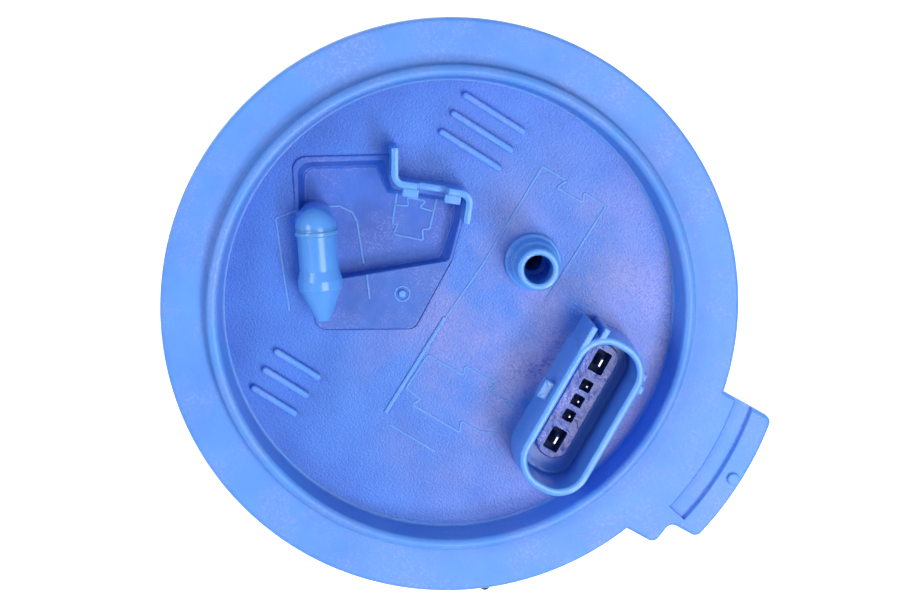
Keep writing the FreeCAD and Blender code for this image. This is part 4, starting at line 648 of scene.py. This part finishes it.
# Pocket beside the stub: raised surround, sloped walls and a deep floor
pocket = {"centre": (-24.0, 4.0), "floor": -7.0, "bottom": -9.0, "surroundTop": -1.8,
          "surround": [(-47.5, 11.8), (-28.7, 23.0), (-24.6, 17.6), (-9.4, 23.2), (-7.4, 17.6), (-4.6, 9.6),
                       (-4.2, -8.7), (-23.4, -19.6), (-39.2, -0.8)],
          "surroundRounds": [3.0, 0.6, 1.6, 1.6, 0.8, 6.0, 2.4, 2.4, 6.0],
          "edge": [(-45.6, 11.3), (-29.0, 21.2), (-24.4, 16.4), (-9.3, 22.0), (-7.5, 17.3), (-5.2, 8.6),
                   (-30.6, -11.6), (-38.2, -0.9)],
          "base": [(-43.6, 10.6), (-29.4, 19.0), (-24.3, 15.2), (-9.9, 20.6), (-8.3, 16.4), (-6.9, 7.2),
                   (-30.4, -11.4), (-36.8, -1.6)],
          "rounds": [2.6, 0.6, 1.6, 1.6, 0.8, 1.2, 1.0, 5.0],
          "pip": (-10.6, -3.0), "pipRadius": 0.9, "pipRing": 1.5, "pipHeight": 0.8}


def radiusAt(loop, centre, angle):
    # distance from the centre to a star shaped outline, at each angle
    away = loop - np.array(centre)
    bearing = np.arctan2(away[:, 1], away[:, 0])
    return np.interp(angle, bearing, np.linalg.norm(away, axis=1), period=2 * math.pi)


def pocketLoops():
    surround = outline(pocket["surround"], pocket["surroundRounds"], 0.3)
    edge = outline(pocket["edge"], pocket["rounds"], 0.3)
    base = outline(pocket["base"], pocket["rounds"], 0.3)
    angles = [np.arctan2(*(loop - np.array(pocket["centre"])).T[::-1]) for loop in (surround, edge, base)]
    angle = np.sort(np.concatenate(angles))
    angle = angle[np.concatenate([[True], np.diff(angle) > 0.004])]
    return angle, [radiusAt(loop, pocket["centre"], angle) for loop in (surround, edge, base)]


def pocketBasin():
    # every row is a radius for each angle about the pocket's centre
    angle, (surround, edge, base) = pocketLoops()
    surround = np.maximum(surround, edge + 0.9)
    top, floor, bottom = pocket["surroundTop"], pocket["floor"], pocket["bottom"]
    lip, mouth, foot = 0.35, 0.3, 0.6  # rounding of the surround's edge, the pocket's edge and its floor
    share = 0.86  # how far down the sloped wall the floor's rounding starts
    curve = np.linspace(0, math.pi / 2, 5)
    rows = [(base * 0, bottom), (base + 1.3, bottom), (base + 1.7, bottom + 0.4),
            (np.minimum(edge + 1.9, surround - 0.1), floorBottom - 0.3), (surround, floorBottom - 0.3),
            (surround, top - lip - 0.12)]
    rows += [(surround - lip * (1 - math.cos(a)), top - lip * (1 - math.sin(a))) for a in curve]
    rows += [(surround - lip - 0.08, top), (edge + 0.38, top)]
    rows += [(edge + mouth * (1 - math.sin(a)), top - mouth * (1 - math.cos(a))) for a in curve]
    rows.append((edge * (1 - share) + base * share, floor + 0.7))
    rows += [(base - foot * (1 - math.cos(a)), floor + foot * (1 - math.sin(a))) for a in curve]
    rows += [(base - 0.75, floor), (base * 0, floor)]
    turn = np.stack([np.cos(angle), np.sin(angle)], axis=1)
    return np.stack([level(np.array(pocket["centre"]) + turn * r[:, None], z) for r, z in rows]), True


def floorSlab():
    # disc with two holes, cut well past both faces
    offset = np.array([0.19, -0.06])  # the pocket's hole sits this far off, which leaves a fine dark line
    hole = outline(pocket["surround"], pocket["surroundRounds"], 0.5) + offset
    bore = ringLoop(port["place"], port["bore"] + 0.4, 48)
    holes = ((hole, pocket["centre"]), (bore, port["place"]))
    cuts = [slabOf(loop, -20, 5, middle) for loop, middle in holes]
    return [slabOf(ringLoop((0, 0), 51.0, 360), floorBottom, floorTop)], cuts


# Feed port with its bore, and the barbed nipple under the floor
port = {"place": (11.6, 17.7), "top": 11.2, "radius": 4.75, "shoulder": 5.5, "shoulderTop": 4.5, "foot": 6.4,
        "footTop": -0.5, "bore": 3.2, "lowerBore": 2.4, "nipple": 3.7, "barb": 0.5, "nippleBottom": -17.0}


def feedPort():
    low, step = port["nippleBottom"], (floorBottom - port["nippleBottom"]) / 4
    profile = [(port["lowerBore"], low), (port["nipple"] - 0.4, low)]
    rounds = [0.2, 0.2]
    for i in range(3):
        z = low + i * step
        profile += [(port["nipple"] + port["barb"], z + step * 0.6), (port["nipple"], z + step * 0.7)]
        rounds += [0.1, 0.1]
    profile += [(port["nipple"], floorBottom + 0.2), (port["foot"], floorBottom + 0.2),
                (port["foot"], port["footTop"]), (port["shoulder"], port["footTop"]),
                (port["shoulder"], port["shoulderTop"]),
                (port["radius"], port["shoulderTop"] + 0.5), (port["radius"], port["top"]),
                (port["bore"], port["top"]), (port["bore"], floorTop - 1), (port["lowerBore"], floorTop - 2)]
    rounds += [0.2, 0.2, 0.7, 0.6, 0.6, 0.4, 0.55, 0.45, 0.3, 0.3]
    return turnedRing(profile, port["place"], 96, rounds, 5)


slab, slabCuts = floorSlab()
makePiece("flangeFloor", slab, "tank_flange", "blue_acetal", blueAcetalFloorShadeAndSheen, cuts=slabCuts)
makePiece("feedPort", [feedPort()], *polishedLitSlot)
makePiece("pocketBasin", [pocketBasin()], "tank_flange", "blue_acetal", blueAcetalPocketShade)
pipTop = pocket["surroundTop"]
pipProfile = [(0, pipTop - 0.6), (pocket["pipRadius"], pipTop - 0.6),
              (pocket["pipRadius"], pipTop + pocket["pipHeight"]), (0, pipTop + pocket["pipHeight"])]
ringProfile = [(pocket["pipRing"] - 0.1, pipTop - 0.3), (pocket["pipRing"] + 0.5, pipTop - 0.3),
               (pocket["pipRing"] + 0.35, pipTop + 0.22), (pocket["pipRing"], pipTop + 0.22)]
makePiece("pocketPip", [turned(pipProfile, pocket["pip"], 32, [0, 0, 0.3, 0]),
                        turnedRing(ringProfile, pocket["pip"], 40, 0.12)], *flangeSlot)
print("pocket and port made")

# Closed angled stub: riser with a ball top, level pipe with a barb and a closed cone tip
stub = {"place": (-35.5, 1.3), "direction": -56.3, "axis": 5.0, "radius": 4.4, "ball": 4.6, "barb": 4.95,
        "length": 21.0, "straight": 9.5, "tip": 1.7}


def angledStub():
    ballAngle = np.linspace(0, math.pi / 2, 14)
    riser = [(0, pocket["floor"] - 0.3), (stub["ball"], pocket["floor"] - 0.3)]
    riser += [(stub["ball"] * math.cos(a), stub["axis"] + stub["ball"] * math.sin(a)) for a in ballAngle]
    barbAt = stub["straight"] + 2.2
    bead = stub["ball"] + 0.25
    along = [(0, 0), (stub["ball"], 0), (stub["ball"], 0.6), (bead, 0.7), (bead, 1.5), (stub["radius"], 1.75),
             (stub["radius"], stub["straight"]),
             (stub["barb"], barbAt), (stub["barb"], barbAt + 2.0), (stub["barb"] - 0.25, barbAt + 2.15),
             (stub["tip"] + 0.2, stub["length"] - 0.9), (stub["tip"] - 0.3, stub["length"]), (0, stub["length"])]
    pipeSurface = turned(along, (0, 0), 72, [0, 0, 0.1, 0.2, 0.2, 0.15, 0.6, 0.4, 0.1, 0.1, 0.5, 0.3, 0])
    lying = moved(pipeSurface, aboutZ(stub["direction"]) @ layAlongX, (*stub["place"], stub["axis"]))
    return [turned(riser, stub["place"], 72), lying]


makePiece("angledStub", angledStub(), *polishedLitSlot)

# Bracket at the edge of the pocket: a wall that is higher at its two bends, with a hook block inside each
bracket = {"path": [(-29.2, 25.4), (-25.4, 18.6), (-9.4, 24.6), (-7.0, 18.6)], "round": 2.2, "thickness": 1.6,
           "post": 8.0, "wall": 5.0, "hookWidth": 3.6, "hookDepth": 2.0, "hookHeight": 2.6}


def bracketWall():
    points = np.array(bracket["path"])
    path = evenly(roundedPath(points, bracket["round"], False, 10), 0.4, False)
    along = (points[2] - points[1]) / np.linalg.norm(points[2] - points[1])
    reach = (path - points[1]) @ along
    span = np.linalg.norm(points[2] - points[1])
    fromLeft = np.clip((reach - 5.2) / 0.5, 0, 1)
    fromRight = np.clip((span - 5.2 - reach) / 0.5, 0, 1)
    drop = np.minimum(fromLeft, fromRight)
    top = bracket["post"] - (bracket["post"] - bracket["wall"]) * drop
    wall = ridge(path, bracket["thickness"], pocket["floor"] - 0.2, top, 0.25)
    inward = np.array([along[1], -along[0]])
    hooks = []
    for corner, way in ((points[1], along), (points[2], -along)):
        start = corner + way * 2.0 + inward * (bracket["thickness"] / 2 - 0.2)
        block = [start, start + way * bracket["hookWidth"],
                 start + way * bracket["hookWidth"] + inward * bracket["hookDepth"],
                 start + inward * bracket["hookDepth"]]
        low = bracket["post"] - bracket["hookHeight"]
        hooks.append(prism(outline(block, 0.3), low, bracket["post"], 0.25, 0.2))
    return [wall] + hooks


makePiece("bracket", bracketWall(), *polishedLitSlot)

# Ribs on the floor over the rod sockets, and the flow rib near the middle
ribs = {"places": ((-13.0, 37.6), (-23.6, -33.4)), "lengths": (16.6, 12.2), "width": 1.6, "height": 1.8,
        "pitch": 4.9, "tilt": -3.0, "flowStart": (0.6, -3.1), "flowEnd": (-0.4, -28.6), "flowWidth": 0.9}


def floorRibs():
    made = []
    for place, length in zip(ribs["places"], ribs["lengths"]):
        for i in (-1, 0, 1):
            shape = prism(rectLoop((0, i * ribs["pitch"]), length, ribs["width"], 0.75), floorBottom + 0.2,
                          floorTop + ribs["height"], 0.55, steps=5)
            made.append(moved(shape, aboutZ(ribs["tilt"]), (*place, 0)))
    flow = np.linspace(ribs["flowStart"], ribs["flowEnd"], 30)
    made.append(ridge(flow, ribs["flowWidth"], floorBottom + 0.2, floorTop + 0.5, 0.15))
    return made


makePiece("floorRibs", floorRibs(), *flangeSlot)

# Witness lines that the mould's loose inserts left: fine ridges on the floor, the surround and the pocket floor
witness = {"width": 0.46, "height": 0.22, "lines": {
    plate["floorTop"]: [
        [(9.1, 37.3), (2.8, 37.4), (2.0, 11.0), (0.7, -3.2)],
        [(9.1, 37.3), (8.0, 34.8), (14.8, 34.8), (13.9, 36.9), (19.8, 36.7), (18.6, 11.2)],
        [(24.5, -13.2), (17.5, -12.7), (18.3, -10.7), (10.1, -10.5), (10.8, -12.6), (1.5, -12.4), (0.9, -21.4),
         (5.0, -22.2), (4.0, -24.1), (16.7, -24.5), (15.6, -22.0), (20.4, -22.1), (22.7, -21.1)],
        [(1.7, -30.6), (14.0, -31.0)],
        [(-40.6, 1.7), (-43.8, -2.0), (-30.9, -18.8)]],
    pocket["surroundTop"]: [[(-19.8, -3.1), (-16.5, -7.6)]],
    pocket["floor"]: [
        [(-37.0, 4.1), (-32.2, 7.0), (-29.0, 7.1), (-27.0, 5.7), (-21.1, -1.8)],
        [(-22.4, 15.9), (-19.9, 9.4), (-18.7, 9.6), (-18.6, 7.3), (-11.9, 9.4), (-13.3, 11.5), (-11.9, 12.3),
         (-14.1, 20.0)],
        [(-21.4, 13.3), (-18.7, 14.6), (-19.9, 16.1), (-15.7, 17.6), (-16.4, 15.5), (-13.2, 16.3)]]}}


def witnessLines():
    made = []
    for z, lines in witness["lines"].items():
        for line in lines:
            path = evenly(roundedPath(np.array(line), 0.35, False, 4), 0.8, False)
            made.append(ridge(path, witness["width"], z - 0.2, z + witness["height"], 0.07))
    return made


makePiece("witnessLines", witnessLines(), *flangeSlot)
print("stub, bracket and ribs made")

# Electrical socket: drafted shroud, guide plates, latch nub, two lock lugs and the island with its wells
socket = {"place": (35.9, -5.9), "width": 16.4, "length": 38.0, "round": 7.4, "top": 15.5, "wall": 1.7,
          "draft": 0.55, "floor": -1.0, "plate": 1.4, "plateReach": 14.0, "slot": 1.3, "nub": (2.5, 4.4, 4.6),
          "lock": (((-1.7, -5.6), (0.1, -3.9)), ((-1.2, -8.6), (0.9, -6.6))), "lockTall": 5.0}
island = {"place": (35.3, -4.4), "width": 7.6, "length": 29.0, "top": 4.0, "wellDepth": 4.2, "wide": (3.6, 5.4),
          "narrow": (2.7, 2.7), "pitch": 3.9, "offset": 10.1}


def socketShroud():
    # rows of rounded rectangles: drafted outer wall, rolled rim, plain inner wall and the cavity floor
    place, width, length, rounding = socket["place"], socket["width"], socket["length"], socket["round"]
    wall, top, low = socket["wall"], socket["top"], socket["floor"]
    bead, corner = 0.55, 0.6  # rounding of the rolled rim and of the cavity floor's edge
    curve = np.linspace(0, math.pi / 2, 6)
    whole = rectLoop(place, width, length, rounding, 14, 16)

    def loopAt(inward, z):
        # inward counts from the outer wall's place at the rim
        return level(rectLoop(place, width - 2 * inward, length - 2 * inward, rounding - inward, 14, 16), z)

    rows = [pole(whole, floorBottom + 0.2), loopAt(-socket["draft"], floorBottom + 0.2),
            loopAt(-socket["draft"] * 0.04, top - bead - 0.15)]
    rows += [loopAt(bead * (1 - math.cos(a)), top - bead * (1 - math.sin(a))) for a in curve]
    rows += [loopAt(wall - bead * (1 - math.sin(a)), top - bead * (1 - math.cos(a))) for a in curve]
    rows += [loopAt(wall, top - bead - 0.15), loopAt(wall, low + 0.75)]
    rows += [loopAt(wall + corner * (1 - math.cos(a)), low + corner * (1 - math.sin(a))) for a in curve]
    rows += [loopAt(wall + 0.75, low), pole(whole, low)]
    return np.stack(rows), True


def boxLoop(low, high):
    corners = [(low[0], low[1]), (high[0], low[1]), (high[0], high[1]), (low[0], high[1])]
    return outline(corners, 0.25, 0.6, 3)


def socketFittings():
    left = socket["place"][0] - socket["width"] / 2
    right = socket["place"][0] + socket["width"] / 2
    farEnd = socket["place"][1] + socket["length"] / 2
    made = []
    for offset, start in ((0.0, farEnd - socket["round"] + 0.3), (socket["plate"] + socket["slot"], farEnd - 2.3)):
        reach = socket["plateReach"] - (1.0 if offset == 0 else 0.0)
        loop = boxLoop((left + offset, start), (left + offset + socket["plate"], reach))
        made.append(prism(loop, floorBottom + 0.2, socket["top"] - 0.06, 0.25))
    deep, wide, tall = socket["nub"]
    low = floorTop + 9.9
    middle = socket["place"][1] + 1
    nub = boxLoop((left - deep, middle - wide / 2), (left + 1, middle + wide / 2))
    made.append(prism(nub, low, low + tall, 0.3, 0.3))
    high = socket["top"] - 0.8
    for near, far in socket["lock"]:
        lug = boxLoop((right + near[0], farEnd + near[1]), (right + far[0], farEnd + far[1]))
        made.append(prism(lug, high - socket["lockTall"], high, 0.25, 0.25))
    return made


def islandWells():
    x, y = island["place"]
    wells = [((x, y + s * island["offset"]), island["wide"]) for s in (1, -1)]
    wells += [((x, y + i * island["pitch"]), island["narrow"]) for i in (1, 0, -1)]
    return wells


makePiece("socketShroud", [socketShroud()], *polishedLitSlot)
makePiece("socketFittings", socketFittings(), *polishedLitSlot)
islandHalf = np.array([island["width"], island["length"]]) / 2
islandCorners = np.array([(-1, -1), (1, -1), (1, 1), (-1, 1)]) * islandHalf + np.array(island["place"])
islandLoop = outline(islandCorners, islandHalf[0] - 0.4, 0.6, 12)
wellCuts, wellShadeFloors = [], []
for wellPlace, wellSize in islandWells():
    loop = rectLoop(wellPlace, wellSize[0], wellSize[1], 0.4, 4, 2)
    bottom = island["top"] - island["wellDepth"]
    wellCuts.append(slabOf(loop, bottom, island["top"] + 1.0))
    # painted shade: a thin dark plate laid over each well's floor
    wellShadeFloors.append(prism(inset(loop, -0.1), bottom - 0.2, bottom + 0.06, 0.02))
makePiece("socketIsland", [prism(islandLoop, socket["floor"] - 0.3, island["top"], 0.3)], "tank_flange",
          "blue_acetal", pottingGel, cuts=wellCuts)
makePiece("wellShadeFloors", wellShadeFloors, "tank_flange", "blue_acetal", wellShadowBlue)
print("socket made")

# Underside of the flange: rod sockets, inner socket and ribs, each rib's angle with the radius it starts at
under = {"rodRadius": 3.0, "bossRadius": 6.0, "bossBottom": -16.0, "ribWidth": 1.6, "ribDepth": 3.2,
         "ribs": {-95: 12, -68: 12, 30: 12, 82: 12, 140: 41.5, -150: 12},
         "innerWidth": 11.0, "innerLength": 28.0, "innerDepth": 9.0, "innerWall": 1.4}


def underside():
    made = []
    for place in ribs["places"]:
        bore = under["rodRadius"] + 0.05
        profile = [(bore, floorBottom), (bore, under["bossBottom"]), (under["bossRadius"], under["bossBottom"]),
                   (under["bossRadius"], floorBottom + 0.3), (bore, floorBottom + 0.3)]
        made.append(turnedRing(profile, place, 64, [0, 0.4, 0.4, 0, 0]))
    reach = plate["spigot"] - plate["spigotWall"] / 2
    half = under["ribWidth"] / 2
    for degrees, start in under["ribs"].items():
        loop = outline([(start, -half), (reach, -half), (reach, half), (start, half)], 0.3, 1.0, 3)
        rib = prism(loop, floorBottom - under["ribDepth"], floorBottom + 0.3, 0.02, 0.4)
        made.append(moved(rib, aboutZ(degrees)))
    outer = (under["innerWidth"], under["innerLength"], 2.0)
    wall = under["innerWall"]
    inner = (outer[0] - 2 * wall, outer[1] - 2 * wall, 0.8)
    bottom = floorBottom - under["innerDepth"]
    root = floorBottom + 0.3
    shape = [(outer, 0.0, root), (outer, 0.0, bottom + 0.3), (outer, 0.3, bottom), (inner, -0.3, bottom),
             (inner, 0.0, bottom + 0.3), (inner, 0.0, floorBottom), (inner, 0.0, root), (outer, 0.0, root)]
    rows = [level(rectLoop(island["place"], w - 2 * d, l - 2 * d, max(r - d, 0.2), 6, 10), z)
            for (w, l, r), d, z in shape]
    made.append((np.stack(rows), True))
    return made


makePiece("flangeUnderside", underside(), *flangeSlot)
print("underside made")


# Springs and hose drawn anew, each with a mesh of its own; everything else in the lower module keeps its frame
# mesh

spring = {"wire": 0.6, "coil": 4.3, "turns": 9.0, "top": -16.0, "bottom": -74.0}
valveSpring = {"wire": 0.2, "coil": 1.5, "turns": 4.0, "top": -78.0, "bottom": -83.5, "place": (-2.0, -2.0),
               "lift": 1.5}
hose = {"bore": 4.3, "wall": 0.7, "wave": 1.6, "pitch": 3.4, "cuff": 8.0, "lowerCuff": 15.5, "top": -5.4,
        "bottom": -62.4}


def coilSpring(place, shape):
    # helix whose end turns lie flat, with wire centre heights that follow the angle
    turns = shape["turns"] + 1.5
    angle = np.linspace(0, turns * 2 * math.pi, 420)
    part = angle / (turns * 2 * math.pi)
    low = shape["bottom"] + shape["wire"]
    high = shape["top"] - shape["wire"]
    closing = 0.75 / turns  # share of the wire that lies in each flat end
    creep = 0.018  # share of the height that each flat end still climbs
    rise = np.clip((part - closing) / (1 - 2 * closing), 0, 1)
    rise += creep * (np.clip(part / closing, 0, 1) + np.clip((part - 1 + closing) / closing, 0, 1))
    z = low + (high - low) * np.clip(rise / (1 + 2 * creep), 0, 1)
    x = place[0] + shape["coil"] * np.cos(angle)
    y = place[1] + shape["coil"] * np.sin(angle)
    return pipe(np.stack([x, y, z], axis=1), shape["wire"], 12)


def fuelHose():
    outer = hose["bore"] + hose["wall"]
    span = hose["top"] - hose["bottom"] - hose["cuff"] - hose["lowerCuff"]
    waves = int(span / hose["pitch"])
    pitch = span / waves
    start = hose["bottom"] + hose["lowerCuff"]
    crest = outer + hose["wave"]
    profile = [(hose["bore"], hose["bottom"]), (outer, hose["bottom"]), (outer, start)]
    for i in range(waves):
        z = start + i * pitch
        profile += [(crest, z + pitch * 0.25), (crest, z + pitch * 0.6), (outer, z + pitch * 0.85),
                    (outer, z + pitch)]
    profile += [(outer, hose["top"]), (hose["bore"], hose["top"])]
    return turnedRing(profile, port["place"], 72, 0.35, 3)


for name, place in zip(("spring_far", "spring_near"), ribs["places"]):
    piece = makePiece(name.replace("_", ""), [coilSpring(place, spring)], "tank_flange", "spring_steel",
                      springSteel, [name])
    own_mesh(piece)
hosePiece = makePiece("fuelHose", [fuelHose()], "tank_flange", "black_nylon", hoseNylon, ["fuel_hose"])
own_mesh(hosePiece)
valvePiece = makePiece("checkValveSpring", [coilSpring(valveSpring["place"], valveSpring)], "reservoir_unit",
                       "spring_steel", springSteel, ["check_valve_spring"])
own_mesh(valvePiece)
print("springs and hose made")

# Materials of the frame meshes that stay
keptLooks = {
    "flange_seal": mouldedRubber, "power_terminals": tinPlate, "signal_terminals": tinPlate,
    "guide_rod_far": groundSteel, "guide_rod_near": groundSteel, "rod_retaining_rings": springSteel,
    "hose_clamp_upper": rolledStainless, "hose_clamp_lower": rolledStainless, "reservoir": naturalAcetal,
    "fill_valve": mouldedRubber, "reservoir_lid": naturalAcetal, "pump_case": zincPlate,
    "pump_inlet_cover": filledResin, "pump_chamber_plate": filledResin, "motor_magnets": sinteredFerrite,
    "carbon_brushes": pressedCarbon, "brush_springs": springSteel, "pump_outlet_end": blackAcetal,
    "pump_terminals": tinPlate, "check_valve_stop": whiteAcetal,
    "check_valve_plunger": whiteAcetal, "pump_isolator_sleeve": mouldedRubber, "pump_isolator_cup": mouldedRubber,
    "strainer_frame": whiteAcetal, "strainer_mesh": wovenStrainer, "pressure_regulator": passivatedSteel,
    "pump_outlet_seal": mouldedRubber, "sender_housing": blackAcetal, "resistor_card": firedCard,
    "impeller": brownPhenolic, "motor_shaft": groundSteel, "armature_core": stampedSteel,
    "armature_windings": enamelledCopper, "commutator": enamelledCopper, "wiper_lever": whiteAcetal,
    "wiper_contacts": contactAlloy, "float_arm": groundSteel, "float_retainer": springSteel, "float": floatFoam}
for name, look in keptLooks.items():
    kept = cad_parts[name]
    kept.data.materials.clear()
    kept.data.materials.append(look)
print("frame meshes painted")


# Floor, camera and light

floorLevel = cadLow[2] - 0.5 * mm  # just under the lowest piece
bpy.ops.mesh.primitive_plane_add(size=60.0, location=(0, 0, floorLevel))
ground = bpy.context.object
ground.name = "paleFloor"
paleFloor = newMaterial("paleFloor", {"Base Color": linear("#fbfbfb"), "Roughness": 0.9,
                                      "Emission Color": linear("#ffffff"), "Emission Strength": 0.8})[0]
ground.data.materials.append(paleFloor)

pixel = 1 / 900  # one pixel of the picture as a share of its width, which is how a camera's shift counts
cameraView = {"place": (-0.0971, 0.0692, 0.6933), "target": (0.0, 0.0, 0.0035), "up": (-0.4955, 0.8686, 0.0),
              "lens": 125.05, "shiftX": -1.4 * pixel, "shiftY": 8.4 * pixel}


def aimed(place, target, up):
    # camera or lamp at a place, with its -Z towards the target and its Y close to up
    look = (Vector(target) - Vector(place)).normalized()
    right = look.cross(Vector(up)).normalized()
    above = right.cross(look)
    turnMatrix = Matrix((right, above, -look)).transposed().to_4x4()
    return Matrix.Translation(place) @ turnMatrix


cameraData = bpy.data.cameras.new("photoCamera")
cameraData.lens = cameraView["lens"]
cameraData.sensor_width = 36.0
cameraData.shift_x = cameraView["shiftX"]
cameraData.shift_y = cameraView["shiftY"]
cameraData.clip_start = 0.01
camera = bpy.data.objects.new("photoCamera", cameraData)
camera.matrix_world = aimed(cameraView["place"], cameraView["target"], cameraView["up"])
bpy.context.scene.collection.objects.link(camera)
bpy.context.scene.camera = camera

lamps = {
    "keyLamp": {"place": (0.42, -0.20, 0.62), "size": 0.16, "power": 1.8},
    "fillLamp": {"place": (-0.30, 0.55, 0.70), "size": 0.9, "power": 0.5},
    "leftStrip": {"place": (-0.42, -0.16, 0.40), "size": 0.25, "power": 1.1},
    "softBox": {"place": (0.40, 0.03, 1.00), "size": 0.55, "power": 5.8}}
for name, lamp in lamps.items():
    lampData = bpy.data.lights.new(name, "AREA")
    lampData.size = lamp["size"]
    lampData.energy = lamp["power"]
    lampPiece = bpy.data.objects.new(name, lampData)
    lampPiece.matrix_world = aimed(lamp["place"], (0.0, 0.0, 0.0), (0.0, 0.0, 1.0))
    bpy.context.scene.collection.objects.link(lampPiece)

world = bpy.data.worlds.new("studio")
bpy.context.scene.world = world
world.use_nodes = True
background = world.node_tree.nodes["Background"]
background.inputs["Color"].default_value = (1.0, 1.0, 1.0, 1.0)
background.inputs["Strength"].default_value = 0.27
bpy.context.scene.view_settings.view_transform = "Standard"
